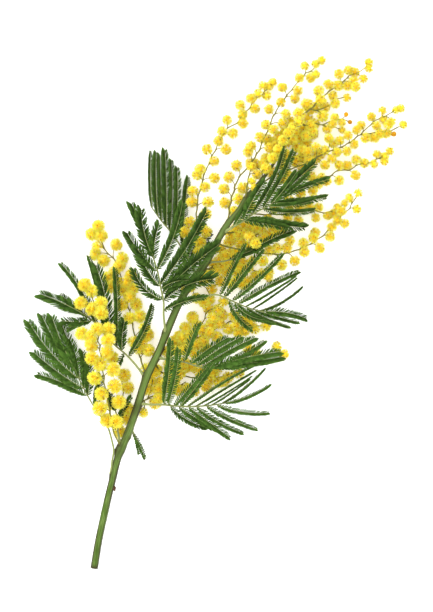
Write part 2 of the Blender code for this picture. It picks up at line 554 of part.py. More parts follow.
def make_spray(name, spray, parts, guides, material):
    """A stalk with its side stalks and round heads, grown as one piece."""
    axis = route(spray["axis"])
    seat_on_stem(axis, SPRAY_AXIS_RADIUS)
    main = tube(name, axis, taper(len(axis), SPRAY_AXIS_RADIUS, SPRAY_TIP_RADIUS), parts)
    pieces = guide_collection(name + " pieces", guides)
    lines = [axis]
    for number, branch in enumerate(spray["branches"]):
        points = route(branch)
        radii = taper(len(points), SPRAY_AXIS_RADIUS, SPRAY_TIP_RADIUS)
        tube(f"{name} branch {number}", points, radii, pieces)
        lines.append(points)
    first, last = spray["width"]
    for number, head in enumerate(spray["heads"]):
        target = place(head[0], head[1], 0.0)
        line, (distance, index, share) = min(
            ((points, nearest_on(points, target)) for points in lines), key=lambda found: found[1][0])
        along = (index + share) / (len(line) - 1)
        radius = HEAD_WIDTH / 2 * (first + (last - first) * along)
        axis_height = line[index].lerp(line[index + 1], share).z
        centre = head_centre(head, axis_height, number, radius)
        root = walk_back(line, index, share, distance * SIDE_STALK_LEAN)
        make_head(f"{name} head {number}", centre, radius, root, pieces)
    hide_guides(pieces)
    grow_together(main, pieces)
    main.data.materials.append(material)
    return main


def strip_section(collection):
    """The flat three-sided section of a leaf's side strip, one unit wide from rib to edge."""
    curve = bpy.data.curves.new("strip section", "CURVE")
    curve.dimensions = "2D"
    line = curve.splines.new("POLY")
    line.points.add(2)
    half = STRIP_THICKNESS / (4 * MM)
    for knot, corner in zip(line.points, ((-1.0, -0.4 * half), (1.0, -0.4 * half), (0.0, half))):
        knot.co = (corner[0] * MM, corner[1] * MM, 0.0, 1.0)
    line.use_cyclic_u = True
    section = add_object("strip section", curve, collection)
    return section


def strip_line(base, tip, bow):
    """Points from base to tip on a line that bows to the left in plan."""
    step = tip - base
    side = Vector((-step.y, step.x, 0.0)) * bow
    points = []
    for share in STRIP_SHARES:
        arch = 4.0 * share * (1.0 - share)
        points.append(base + step * share + side * arch + Vector((0.0, 0.0, 0.6 * MM * arch)))
    return points


def make_leaf(name, leaf, section, parts, guides, material):
    """A midrib with its feathery side strips, grown as one piece."""
    rib = route(leaf["rib"])
    seat_on_stem(rib, MIDRIB_RADIUS)
    main = tube(name, rib, taper(len(rib), MIDRIB_RADIUS, MIDRIB_TIP_RADIUS), parts)
    pieces = guide_collection(name + " pieces", guides)
    for number, (base_x, base_y, tip_x, tip_y, tip_height, bow, width, turn) in enumerate(leaf["strips"]):
        distance, index, share = nearest_on(rib, place(base_x, base_y, 0.0))
        base = rib[index].lerp(rib[index + 1], share)
        points = strip_line(base, place(tip_x, tip_y, tip_height), bow)
        half = width * GRID_STEP / 2 / MM
        radii = [half * swell for swell in STRIP_SWELL]
        strip = tube(f"{name} strip {number}", points, radii, pieces, section=section)
        turn_about(strip, points, math.radians(turn))
    hide_guides(pieces)
    grow_together(main, pieces)
    main.data.materials.append(material)
    return main


def turn_about(strip, points, angle):
    """Turns a strip's mesh about the line from its base to its tip."""
    if angle == 0.0:
        return
    base = Matrix.Translation(points[0])
    turn = Matrix.Rotation(angle, 4, points[-1] - points[0])
    strip.data.transform(base @ turn @ base.inverted())


def make_stem(parts, material):
    """The cut stem, thick at the cut and thin at the crown."""
    points = route(STEM_ROUTE)
    radii = [row[3] * MM for row in STEM_ROUTE]
    stem = tube("main_stem", points, radii, parts, resolution=2)
    stem.data.materials.append(material)
    stem.data.shade_smooth()
    return stem


def make_stem_bud(parts, material):
    """The small dry bud that sits on the side of the stem."""
    shape = bmesh.new()
    stretch = Matrix.Diagonal((0.8, BUD_STRETCH, 1.0, 1.0))
    bmesh.ops.create_icosphere(shape, subdivisions=2, radius=BUD_RADIUS, matrix=stretch)
    mesh = bpy.data.meshes.new("stem_bud")
    shape.to_mesh(mesh)
    shape.free()
    bud = add_object("stem_bud", mesh, parts)
    bud.location = place(*BUD_PLACE)
    bud.rotation_euler = (0.0, 0.0, math.radians(-15))
    bud.data.materials.append(material)
    return bud


def main():
    """Builds the whole sprig."""
    for thing in list(bpy.data.objects):
        bpy.data.objects.remove(thing)
    scene = bpy.context.scene
    parts = bpy.data.collections.new("mimosa sprig")
    guides = bpy.data.collections.new("guides")
    scene.collection.children.link(parts)
    scene.collection.children.link(guides)
    stem_green = new_material("stem green", (0.16, 0.28, 0.06), 0.5)
    leaf_green = new_material("leaf green", (0.05, 0.15, 0.03), 0.6)
    flower_yellow = new_material("flower yellow", (0.9, 0.72, 0.06), 0.9)
    bud_brown = new_material("bud brown", (0.12, 0.06, 0.03), 0.8)
    make_stem(parts, stem_green)
    make_stem_bud(parts, bud_brown)
    section = strip_section(guides)
    for name, leaf in LEAVES.items():
        make_leaf(name, leaf, section, parts, guides, leaf_green)
    for name, spray in SPRAYS.items():
        make_spray(name, spray, parts, guides, flower_yellow)
    hide_guides(guides)


main()
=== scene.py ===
"""A cut sprig of mimosa in flower: bark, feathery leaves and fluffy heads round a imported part.

Laid out as an add-on and run as a script. Lengths are metres; plan places are read on a grid
whose x runs right and whose y runs down, and their heights are millimetres over the floor.
"""

import json
import math
import random
from collections import namedtuple

import bmesh
import bpy
from mathutils import Matrix, Vector, noise

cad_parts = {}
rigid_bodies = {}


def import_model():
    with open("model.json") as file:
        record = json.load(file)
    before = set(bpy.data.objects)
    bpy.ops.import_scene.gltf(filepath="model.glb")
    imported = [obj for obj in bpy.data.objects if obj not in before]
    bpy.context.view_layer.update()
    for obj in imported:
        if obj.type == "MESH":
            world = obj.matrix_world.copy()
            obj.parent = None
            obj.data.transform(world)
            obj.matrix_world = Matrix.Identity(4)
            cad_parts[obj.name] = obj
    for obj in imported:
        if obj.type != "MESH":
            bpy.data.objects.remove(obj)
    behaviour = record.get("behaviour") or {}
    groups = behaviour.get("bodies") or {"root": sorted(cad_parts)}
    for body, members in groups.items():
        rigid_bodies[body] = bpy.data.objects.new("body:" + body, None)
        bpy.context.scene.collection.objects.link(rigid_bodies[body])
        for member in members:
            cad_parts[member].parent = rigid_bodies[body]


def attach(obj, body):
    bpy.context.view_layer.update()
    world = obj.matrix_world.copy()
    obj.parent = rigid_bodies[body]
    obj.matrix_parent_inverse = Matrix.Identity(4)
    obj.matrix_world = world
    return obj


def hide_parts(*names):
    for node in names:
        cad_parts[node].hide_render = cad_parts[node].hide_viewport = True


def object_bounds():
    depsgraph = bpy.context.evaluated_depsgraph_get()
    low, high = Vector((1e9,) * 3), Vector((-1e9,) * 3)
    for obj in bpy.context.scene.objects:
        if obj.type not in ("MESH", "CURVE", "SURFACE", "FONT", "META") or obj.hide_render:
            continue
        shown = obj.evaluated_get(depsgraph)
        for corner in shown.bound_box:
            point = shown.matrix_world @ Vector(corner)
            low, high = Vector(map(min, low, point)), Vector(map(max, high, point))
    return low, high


bl_info = {
    "name": "Mimosa sprig",
    "version": (1, 0, 0),
    "blender": (4, 5, 0),
    "location": "View3D > Sidebar > Mimosa",
    "description": "Builds the bark, leaflets and flower heads of a cut mimosa sprig",
    "category": "Object",
}

for thing in list(bpy.data.objects):
    bpy.data.objects.remove(thing)
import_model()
CAD_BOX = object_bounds()

MM = 0.001
GRID_STEP = 0.6 * MM
# The plan grid's point that lies over the origin, and the one in the middle of the picture.
CENTRE_X = 216.0
CENTRE_Y = 312.8
PICTURE_MIDDLE_X = 216.5
PICTURE_MIDDLE_Y = 306.0
PICTURE_LONG_SIDE = 612
UP = Vector((0.0, 0.0, 1.0))
GOLDEN_ANGLE = math.pi * (3.0 - math.sqrt(5.0))

# Small height steps that keep neighbouring heads from lying in one plane, in millimetres.
HEAD_LIFTS = (0.7, -0.9, 1.1, -0.4, 0.2)
# How far back along the axis a side stalk leaves, as a share of the head's distance.
SIDE_STALK_LEAN = 0.6

# Main stem: plan x, plan y, height and radius in millimetres, from the cut end up.
STEM_ROUTE = (
    (93.5, 570, 2.2, 2.15), (98.5, 540, 3.3, 2.05), (107.2, 500, 5.3, 2.05), (112.2, 480, 6.5, 2.05),
    (117.2, 460, 7.9, 2.1), (121, 450, 8.8, 2.5), (125, 440, 9.6, 2.2), (136.5, 409, 12.2, 2.3),
    (146, 379, 14.4, 2.25), (159.3, 350, 16.4, 2.05), (167, 331, 17.6, 2.2), (181, 300, 19.5, 2.0),
    (194, 280, 20.6, 2.0), (207.5, 260, 21.6, 1.95), (218, 240, 22.2, 1.9), (227, 225, 22.4, 1.85),
    (239, 210, 22.2, 1.5), (246, 198, 21.7, 1.3), (259, 183, 20.6, 1.05), (268, 172, 19.6, 0.9),
    (277, 158, 18.6, 0.8), (288, 139, 17.2, 0.7), (296, 124, 15.6, 0.6),
)

# The bud: plan x, plan y and height in millimetres, how far it shifts towards the bark, its
# radius, how its heart is stretched, and its turn in plan.
BUD_PLACE = (115.8, 488.5, 6.2)
BUD_SEAT = Vector((-1.35 * MM, -0.3 * MM, 0.0))
BUD_RADIUS = 1.25 * MM
BUD_HEART = 0.85
BUD_STRETCH = (0.75, 1.35, 0.85)
BUD_TURN = math.radians(-15)
# The bud's scales: how many, their length, width and thickness, and how they stand up.
BUD_SCALES = 13
BUD_SCALE_SIZE = (1.15 * MM, 0.95 * MM, 0.3 * MM)
BUD_SCALE_LEAN = math.radians(78)

# Leaves. "rib" is the midrib's route from the stem: plan x, plan y, height in millimetres.
# Each strip is its base on the rib, its tip, the tip's height, how far it bows to the left
# as a share of its length, its width in grid steps, and its turn about its own line in degrees.
LEAVES = {
    "leaf_top_left": {
        "rib": ((193.5, 273, 15), (188, 257, 11), (180, 245, 10), (170, 231, 9.6), (160, 219, 9.2),
                (150, 205, 8.6)),
        "strips": (
            (152, 208, 150.5, 150, 3.0, 0.02, 3.5, 0), (158, 217, 156, 150, 4.5, 0.02, 6.0, 0),
            (162, 221, 159.5, 153, 2.5, 0.0, 5.0, 0), (166, 227, 164.5, 147, 4.2, -0.01, 7.0, 0),
            (170, 231, 171, 158, 2.6, -0.02, 5.5, 0), (175, 238, 177, 165.5, 4.2, -0.02, 6.0, 0),
            (183, 250, 188.6, 175, 3.0, 0.02, 6.0, 0), (188, 258, 206, 222, 8.0, 0.05, 6.0, 0),
            (190, 262, 213, 232, 7.0, 0.05, 6.0, 0), (192, 267, 211, 243, 8.0, 0.02, 6.0, 0),
            (180, 246, 180, 282, 7.0, 0.08, 8.5, 0)),
    },
    "leaf_front": {
        "rib": ((164.3, 331, 20.5), (163.8, 315, 24), (163.8, 302, 26), (161, 288, 27.5),
                (158, 272, 28.5), (155, 262, 29), (151.5, 252, 29), (145, 241, 28.5)),
        "strips": (
            (151, 251, 130, 201, 25.0, -0.03, 6.5, 0), (154, 258, 141.5, 206, 27.0, 0.06, 7.5, 0),
            (158, 272, 126, 230.5, 24.0, 0.04, 6.5, 0), (161, 287, 137, 244, 26.0, 0.07, 7.0, 0),
            (163.5, 300, 133, 267, 22.0, 0.13, 5.5, 0), (155, 260, 160.5, 222, 28.0, 0.06, 6.0, 0),
            (158, 270, 183, 201, 27.5, -0.05, 6.0, 0), (161, 285, 208, 209, 26.0, -0.03, 7.0, 0),
            (163.5, 301, 218, 279, 25.5, 0.10, 9.0, 0), (163.8, 294, 221, 243.5, 27.0, 0.03, 8.5, 0),
            (162, 289, 189, 280.5, 28.0, 0.10, 5.5, 0), (163.8, 311, 208, 297.5, 25.0, 0.06, 4.5, 0)),
    },
    "leaf_top_right": {
        "rib": ((226.5, 232.5, 24.6), (235, 226, 25.6), (245, 220, 26.4), (255, 213, 27),
                (267, 207, 27.4), (281, 199, 27.2), (295, 192, 26.4), (303, 187, 25.6)),
        "strips": (
            (233, 227, 249, 201, 27.0, -0.03, 5.5, 0), (243, 221, 266, 180.5, 31.0, 0.04, 7.5, 0),
            (252, 215, 285, 148, 27.0, -0.06, 6.5, 0), (262, 209, 294, 150, 25.5, -0.04, 6.5, 0),
            (270, 205, 297, 171, 28.5, -0.03, 6.0, 0), (276, 202, 317, 162, 25.5, 0.02, 9.0, 0),
            (283, 198, 310, 174, 27.5, -0.02, 6.0, 0), (288, 195, 330, 179, 24.0, 0.03, 6.0, 0),
            (295, 192, 316, 184, 25.5, 0.02, 5.0, 0), (274, 204, 328, 197, 23.5, -0.03, 6.5, 0),
            (268, 207, 316, 199.5, 25.5, -0.06, 6.0, 0), (262, 209, 315, 210.5, 22.5, -0.06, 6.0, 0),
            (247, 219, 307.5, 228, 21.0, -0.02, 9.0, 0), (243, 221, 289, 229, 23.5, 0.02, 6.0, 0)),
    },
    "leaf_mid_right": {
        "rib": ((186.5, 303, 20.3), (198, 299.5, 21.4), (209, 295.5, 22.4), (218, 295, 23),
                (228, 299, 23.2), (240, 304.5, 22.8), (252, 309, 22), (266, 312, 21)),
        "strips": (
            (220, 295.5, 245, 243.5, 22.0, 0.02, 5.5, 0), (224, 297, 262.5, 249, 23.5, 0.0, 6.5, 0),
            (232, 301, 283, 253, 20.5, -0.02, 5.5, 0), (238, 304, 300, 271, 19.0, 0.03, 6.0, 0),
            (245, 306.5, 296, 275.5, 20.5, 0.02, 5.0, 70), (252, 309, 297, 277.5, 17.0, 0.02, 4.5, 70),
            (259, 310.5, 302.5, 286, 14.0, -0.08, 4.5, 50), (264, 311.5, 308, 319, 8.0, 0.06, 7.5, 0),
            (254, 309.5, 300, 322.5, 10.0, 0.0, 5.5, 30), (246, 307, 291, 327, 12.5, -0.03, 5.5, 40),
            (239, 304, 276, 323, 15.5, -0.09, 5.5, 40), (229, 299.5, 253, 330, 13.0, -0.08, 6.0, 0),
            (234, 302, 265, 320, 17.5, -0.12, 5.5, 0)),
    },
    "leaf_low_right": {
        "rib": ((161.5, 358.8, 17), (172, 360.5, 18), (184, 362, 19), (197, 366, 19.6), (208, 368, 19.8),
                (218, 366.5, 19.4)),
        "strips": (
            (184, 362, 199, 322, 18.0, 0.03, 6.5, 0), (190, 363.5, 230, 336.5, 18.5, 0.04, 7.5, 0),
            (196, 365, 243, 336, 20.5, 0.03, 7.0, 0), (202, 366.5, 257, 337, 18.5, 0.03, 7.5, 0),
            (206, 367.5, 266, 340, 16.0, -0.05, 6.0, 0), (210, 367.5, 283, 351.5, 17.5, 0.03, 8.5, 0),
            (214, 367, 285, 356.5, 15.0, 0.0, 8.5, 0), (216, 366.7, 270, 362, 16.5, 0.02, 5.5, 0)),
    },
    "leaf_bottom_right": {
        "rib": ((142.8, 404.6, 14.6), (150, 404.5, 15.2), (161, 404.5, 16), (176, 406, 16.6),
                (190, 406.5, 16.6), (202, 406, 16.2), (213, 405, 15.6), (225, 403, 15)),
        "strips": (
            (164, 404.6, 171.5, 338, 23.0, -0.02, 9.0, 0), (168, 405, 179, 347, 24.5, -0.04, 8.0, 0),
            (174, 405.5, 208, 366, 22.5, 0.0, 7.5, 0), (180, 406, 214, 362, 23.5, -0.02, 6.5, 0),
            (187, 406.5, 262, 361, 14.5, 0.05, 4.5, 40), (195, 406.3, 256, 370, 13.0, 0.04, 4.5, 60),
            (203, 406, 252, 376, 13.5, 0.02, 4.5, 70), (211, 405.2, 250, 379, 12.0, 0.03, 4.5, 70),
            (221, 403.8, 265, 368, 9.0, -0.04, 5.0, 50), (224, 403.2, 271, 384, 6.0, -0.05, 5.5, 30),
            (216, 404.6, 270, 413, 4.0, -0.06, 6.0, 0), (206, 405.8, 258, 430, 3.5, -0.03, 6.0, 0),
            (196, 406.3, 244, 434, 2.5, -0.04, 6.0, 0), (188, 406.5, 231, 439, 3.5, 0.0, 7.5, 0),
            (178, 406.2, 219, 431, 5.5, -0.02, 7.0, 0), (170, 405.4, 207, 428, 3.0, -0.08, 7.5, 0)),
    },
    "leaf_bottom_left": {
        "rib": ((109.8, 474, 7.6), (111.8, 462, 8.6), (113.5, 452, 9.6), (112.2, 443, 10.6),
                (107.5, 427, 11.8), (98.6, 414, 12.6), (91, 402, 13.1), (84, 389, 13.2), (78, 377, 13.1),
                (74, 367, 12.9)),
        "strips": (
            (88, 396, 34.5, 374, 3.0, -0.04, 6.5, 0), (84, 389, 31, 350.5, 4.0, 0.03, 7.5, 0),
            (79, 379, 26, 318.5, 3.5, 0.05, 8.5, 0), (74.5, 369, 40, 312.5, 5.0, 0.04, 7.5, 0),
            (75, 370, 50.5, 313, 7.5, 0.03, 8.0, 0), (77, 375, 60, 322, 5.5, -0.03, 8.0, 0),
            (80, 381, 69, 338, 9.0, -0.04, 7.0, 0), (84, 389, 82, 349, 10.0, -0.05, 6.5, 0),
            (88, 396, 88, 358, 11.0, -0.04, 6.5, 0), (94, 407, 101, 373, 12.0, -0.04, 6.0, 0)),
    },
    "leaf_far_left": {
        "rib": ((141.4, 374.5, 15.0), (134, 363, 15.4), (126, 354.5, 15.2), (117, 347, 14.6),
                (107, 337, 13.8), (97, 325, 13.1), (88, 317, 12.6), (79, 311.5, 12)),
        "strips": (
            (83, 314, 36, 293, 3.5, -0.03, 9.5, 0), (90, 319, 58, 294, 5.0, -0.02, 6.0, 0),
            (97, 325, 59, 262, 4.5, -0.06, 6.0, 0), (92, 321, 59, 320.5, 10.5, 0.04, 7.0, 0),
            (88, 317, 66, 330, 11.0, 0.0, 5.0, 0), (105, 334, 88, 255, 10.5, -0.04, 5.0, 0),
            (111, 341, 94.5, 262, 11.5, -0.04, 9.0, 0), (117, 347, 115, 267, 11.5, -0.02, 5.5, 0),
            (128, 357, 153, 304, 13.5, -0.06, 5.5, 0), (122, 351, 125, 319, 13.5, 0.04, 7.5, 0),
            (124, 353, 118.5, 364, 13.5, 0.0, 4.5, 0)),
    },
    "leaf_small": {
        "rib": ((131.6, 431, 8.6), (134, 435, 7.0), (136, 439, 6.0)),
        "strips": ((133, 433, 145, 460, 1.6, 0.03, 6.0, 0), (135, 437, 139, 455, 3.2, 0.02, 5.0, 0)),
    },
    "leaf_hidden_mid": {
        "rib": ((208.8, 263, 19.4), (215, 262, 18), (225, 261, 17.6), (240, 257, 17.5)),
        "strips": ((238, 257.5, 295, 229.5, 17.6, 0.03, 7.5, 0), (229, 260, 262, 247, 17.6, 0.02, 6.0, 0)),
    },
    "leaf_hidden_low": {
        "rib": ((116.6, 443, 11.4), (117.5, 430, 11.6), (117, 418, 11.6), (114, 406, 11.4)),
        "strips": (
            (116, 412, 110, 392, 11.2, 0.03, 6.0, 0), (117.4, 426, 132, 396, 11.4, 0.05, 5.0, 0),
            (117.5, 430, 105, 415, 11.2, 0.03, 5.0, 0)),
    },
}

# Flower sprays. "axis" is the stalk's route: plan x, plan y, height in millimetres.
# "branches", where there are any, are side axes that start on the stalk. "heads" are plan places,
# some with a height of their own. "width" is the heads' width at the stalk's foot and at its tip,
# as shares of the common one.
SPRAYS = {
    "spray_top_left": {
        "axis": ((199.5, 265, 20.2), (198.6, 252, 17), (197, 235, 16), (196, 216, 15.6), (197, 209, 15.2),
                 (199, 194, 14), (205, 173, 12), (213, 154, 10), (220, 140, 9), (228, 128, 8),
                 (237, 122, 7.4), (247, 110, 6.8), (256, 99, 6.2), (264, 92, 5.6), (272, 84, 5)),
        "width": (1.08, 0.9),
        "heads": (
            (199.5, 252), (200, 242), (206, 231.5), (185.5, 232), (190, 222), (206, 214), (192, 202),
            (208, 202), (193, 191), (205, 187), (197, 175), (214.5, 178), (200, 169), (214, 161),
            (207, 149), (226, 149), (218.5, 140.5), (222, 131), (233, 133), (227, 119.5), (243, 123),
            (242.5, 114), (240.5, 104.5), (255, 108), (251, 98), (258, 93), (267, 95), (263, 85),
            (269, 85.5), (273, 81.5)),
    },
    "spray_top_centre": {
        "axis": ((227.2, 220, 21), (230, 205, 15.6), (232, 197, 14.6), (236, 184, 13.8), (241, 175, 13.4),
                 (248, 167, 13.2), (256, 156, 13.2), (262, 143, 13.2), (268, 129, 13), (273, 117, 12.6),
                 (279, 106, 11), (287, 95, 9), (294, 86, 7.6), (302, 77.5, 6.6), (307, 72, 6), (314, 68, 5.4),
                 (320, 62, 5)),
        "width": (1.05, 0.86),
        "heads": (
            (234, 211.5, 15.6), (225, 203), (238.5, 199), (243, 188), (224, 189), (229, 177), (236.5, 165.5),
            (248, 152), (251, 146), (260, 137), (270, 148), (266, 124.5), (273.5, 129.5), (283, 123),
            (269, 109), (286, 114), (281, 102), (282.5, 87), (295, 98), (298, 90), (299.5, 77), (311, 77),
            (316, 73.5), (305, 65), (316, 63), (322, 59.5)),
    },
    "spray_crown": {
        "axis": ((298, 119.5, 15), (303, 114.5, 14.4), (310, 110, 13.4), (318, 101, 11.6), (326, 94, 10),
                 (335, 87, 8.8), (344, 79.5, 7.8), (352, 74, 6.8), (360, 71, 6.2), (369, 63, 5.4)),
        "branches": (((311, 109.5, 13.1), (320, 109, 10.4), (329, 105, 8), (336, 99, 6.6), (344, 96, 5.6)),),
        "width": (1.12, 0.86),
        "heads": (
            (299, 113.5), (307, 104), (321, 100), (319, 90.5), (329, 84), (333, 95), (338.5, 85),
            (339, 73.5), (348, 85), (354, 80.5), (349, 69.5), (355, 71.5), (356, 86.5), (364, 78),
            (369.3, 61.5), (369.5, 67.5), (323, 115.5), (335.5, 103), (347.5, 97)),
    },
    "spray_crown_side": {
        "axis": ((299, 128.5, 15.2), (306, 124.5, 13.8), (315, 123, 12.6), (322, 124.5, 11),
                 (330, 121, 9.4), (336, 120, 8.4), (342, 118.5, 7.4), (350, 121, 6.4)),
        "branches": (((322, 124.5, 11), (329, 126, 8.8), (336, 127, 6.8), (341, 129, 5.4)),),
        "width": (0.95, 0.72),
        "heads": (
            (311, 125), (313, 131), (333, 123.5), (327.5, 128.5), (335, 117), (342, 122), (342.5, 129.5, 4.6),
            (346.5, 114), (350.5, 121.5)),
    },
    "spray_right_upper": {
        "axis": ((256.5, 188.5, 18.6), (264, 182, 15.4), (276, 174, 13.6), (290, 169.5, 13.2),
                 (297, 166.5, 13.2), (305, 164, 13.2), (316, 158, 13), (328, 152, 12), (341, 147, 10),
                 (350, 142, 8.6), (361, 134, 7.2), (368, 127, 6.4), (376, 120, 5.8), (386, 115, 5.2),
                 (396, 110.5, 4.8)),
        "branches": (((361, 134, 7.2), (370, 132.5, 5.4), (380, 131, 4.8), (391, 130, 4.6),
                      (399, 126, 4.4)),),
        "width": (1.0, 0.82),
        "heads": (
            (283, 166), (287.5, 174), (282, 179), (309.5, 160), (308, 152), (316, 147), (325, 150),
            (325, 165), (332, 158.5), (337, 152), (329, 138), (340, 140), (347, 151), (348, 135, 10.5),
            (354.5, 144), (357, 129.5), (361.5, 124.5), (366, 137.5), (372, 116), (377, 125), (383, 110),
            (384, 119), (389, 124), (392.5, 120.5), (397, 109), (401.5, 107.5), (375, 137), (380.5, 133),
            (387.5, 133), (394.5, 133.5), (404, 124)),
    },
    "spray_right": {
        "axis": ((250, 195.8, 19.4), (262, 195.5, 15), (276, 193, 12.4), (290, 190, 12), (301, 188, 11.6),
                 (313, 182, 10.6), (321, 179, 9.8), (329, 176, 9), (338, 171, 8), (351, 169, 7),
                 (360, 164, 6), (370, 162, 5.2), (384, 157, 4.6)),
        "width": (1.02, 0.85),
        "heads": (
            (289, 200), (301, 193), (313, 191), (311, 176), (318, 184), (327, 181), (339.5, 180),
            (339.5, 165), (347.5, 165), (356.5, 159), (356, 175), (365, 162.5), (374.5, 163.5),
            (377.5, 153.5), (385, 161), (385.5, 155.5), (390.5, 150.5)),
    },
    "spray_right_inner": {
        "axis": ((241, 207.5, 20.2), (245, 211.5, 14.4), (254, 213.5, 8.4), (266, 214, 5), (282, 214, 4.8),
                 (299, 211.5, 4.8), (313, 210.5, 4.8), (324, 212, 4.8), (336, 209, 4.8), (344, 204.5, 4.8)),
        "width": (1.0, 0.8),
        "heads": (
            (250.5, 205, 9), (268, 219), (275, 208), (288, 217.5), (289.5, 207), (300.5, 207), (299, 220),
            (310, 206), (319, 207), (316, 217.5), (328, 215.5), (334, 213), (337.5, 207), (345, 203)),
    },
    "spray_right_lower": {
        "axis": ((219.5, 244.5, 20.4), (228, 247, 15.4), (245, 250.5, 13.2), (262, 253.5, 12.6),
                 (283, 254, 11.8), (295, 250.5, 10.4), (308, 245, 8.8), (321, 237, 7.4), (333, 225, 8),
                 (341, 217, 10), (347, 211, 11.8), (353, 203, 12.8), (357, 197, 13)),
        "width": (1.04, 0.88),
        "heads": (
            (255, 243), (269, 250.5), (263, 261), (277.5, 248), (287, 248), (290, 240.5), (282, 265),
            (295, 261), (304.5, 252), (303.5, 243), (313.5, 238), (315.5, 232.5), (320, 248), (330.5, 236.5),
            (332, 227), (337.5, 220), (345, 223.5), (341.5, 211), (357, 209), (349.5, 198), (358.5, 193)),
    },
    "spray_young": {
        "axis": ((244.6, 196, 23.6), (246.6, 188, 23.8), (247.8, 180, 22.6), (249, 174, 20.4),
                 (252, 168, 18.6)),
        "width": (0.74, 0.95),
        "heads": ((254.4, 188, 25.8), (252, 181.5, 24), (257, 174.5, 18.2), (251.5, 167, 17.6)),
    },
    "spray_inner_top": {
        "axis": ((263.2, 179.6, 18.2), (262.5, 174, 11), (264, 168, 6.6), (268, 160, 5), (272, 152, 4.8),
                 (277, 144, 4.8), (281, 136, 4.8), (286, 128, 4.8), (291, 120, 4.8)),
        "width": (1.05, 1.0),
        "heads": (
            (270, 171), (256, 164), (266, 158), (275.5, 154), (285.5, 153), (267, 139), (273, 142),
            (279, 136.5), (286, 142), (285, 132), (291.5, 120.5)),
    },
    "spray_inner_crown": {
        "axis": ((278.8, 160.6, 16.8), (284, 159.5, 9.8), (291, 157, 5.4), (297, 151, 4.8), (301, 144, 4.8),
                 (304, 136, 4.8), (307, 128, 4.8), (311, 120, 4.8)),
        "width": (1.1, 1.05),
        "heads": (
            (296.5, 161), (303, 157), (297, 146, 6.6), (307, 143), (300, 137), (297, 132.5), (313, 133),
            (303, 126.5), (315, 123), (308, 117)),
    },
    "spray_inner_mid": {
        "axis": ((226.6, 232.8, 20), (232, 232.5, 12), (240, 233, 6.6), (250, 234, 5), (260, 235, 4.8),
                 (270, 236, 4.8), (280, 232, 4.8)),
        "width": (1.08, 1.0),
        "heads": (
            (229.5, 241.5, 5.6), (236, 229), (240, 242), (243.5, 225), (251, 233), (248.5, 246), (257, 241),
            (261, 229), (269.5, 234), (283, 228.5)),
    },
    "spray_inner_low": {
        "axis": ((206, 270, 20), (210, 268, 14), (216, 264.5, 7.6), (226, 261, 5), (238, 262, 4.8),
                 (248, 267, 4.8), (258, 271, 4.8), (267, 270, 4.8)),
        "width": (1.06, 1.0),
        "heads": (
            (220, 248.5, 5), (229, 253.5, 5), (237, 251.5), (216.5, 271.5), (226.5, 271.5), (243, 262),
            (237, 273), (247, 281), (255.5, 276), (269, 272), (207.5, 276.5)),
    },
    "spray_under_stem": {
        "axis": ((192, 286.5, 17.4), (194.5, 286, 10), (200, 285, 5.6), (208, 285, 4.8), (217, 285, 4.8),
                 (229, 284, 4.8)),
        "branches": (((194.5, 286, 10), (190, 290, 6.4), (186, 292, 4.6)),),
        "width": (1.0, 0.95),
        "heads": (
            (184, 287.5, 4.4), (196, 298, 4.2), (203, 280), (212, 289), (220.5, 281), (231, 284)),
    },
    "spray_mid_right": {
        "axis": ((164.4, 350.5, 15.4), (169, 349, 10.6), (180, 345, 7), (196, 338, 6), (209, 333, 5.4),
                 (216, 329, 5), (224, 325, 4.8), (232, 322, 4.8), (243, 325, 4.8), (254, 327, 4.8)),
        "branches": (((196, 338, 6), (201, 326, 8), (207, 313, 9), (213, 308, 9), (219, 304, 9)),),
        "width": (1.14, 1.05),
        "heads": (
            (168, 352), (179, 337.5), (185.5, 328), (176.5, 350), (189, 347), (203, 342), (206, 349),
            (211, 325), (217, 337), (228.5, 329), (234, 316), (245, 319), (245, 331), (255, 329),
            (266, 326), (192.5, 317.5), (204, 302), (213, 318), (218, 310), (223.5, 301.5), (222.5, 315)),
    },
    "spray_low_inner": {
        "axis": ((141.6, 403.6, 9.8), (147, 399, 7.6), (157, 394.5, 5.4), (165, 391.5, 4.8), (174, 387, 4.8),
                 (186, 382, 4.8)),
        "branches": (((147, 399, 7.6), (150, 394, 5.2), (153, 390, 4.8)),
                     ((144.6, 401.2, 8.6), (144.4, 408, 5.2))),
        "width": (1.14, 1.0),
        "heads": (
            (143, 413), (155, 403.5), (147.5, 390), (151.5, 382), (160, 382), (158, 390), (175, 381.5),
            (178.5, 390.5), (186.5, 388), (194.5, 392)),
    },
    "spray_low_right": {
        "axis": ((155.4, 362.5, 13), (157.4, 367, 9), (162, 373.5, 5.4), (172, 374.5, 4.8), (184, 376, 4.8),
                 (196, 379, 4.8), (208, 379, 4.8), (220, 377, 4.8), (232, 373, 4.8), (244, 364, 4.8),
                 (256, 357, 4.8), (268, 353, 4.8), (280, 350, 4.8)),
        "width": (1.12, 1.0),
        "heads": (
            (156, 370.5, 5.6), (147, 369.5, 5.8), (168.5, 365.5), (176, 368), (183.5, 368.5), (191, 366.5),
            (199, 371.5), (206, 387), (210.5, 379.5), (219, 382.5), (216.5, 370), (228, 377.5), (238.5, 373),
            (249, 349), (255.5, 353), (277, 346.5), (284.5, 354.5)),
    },
    "spray_left_back": {
        "axis": ((142.2, 371.5, 12.4), (139.8, 358, 9.6), (136, 343, 7.6), (133, 330, 6), (129, 311, 5),
                 (126, 298, 4.8), (123, 284.5, 4.8), (120, 274, 4.8), (117, 265, 4.8), (111, 255.5, 4.8),
                 (105, 250.5, 4.8), (100.5, 241, 4.8)),
        "width": (1.16, 1.12),
        "heads": (
            (148.5, 350.5), (139, 348.5), (147.5, 335), (139.5, 316.5), (129, 318), (121, 305), (136, 304.5),
            (110.5, 287), (123, 290), (132.5, 288.5), (130.5, 275.5), (108, 277), (119, 265.5), (122, 258.5),
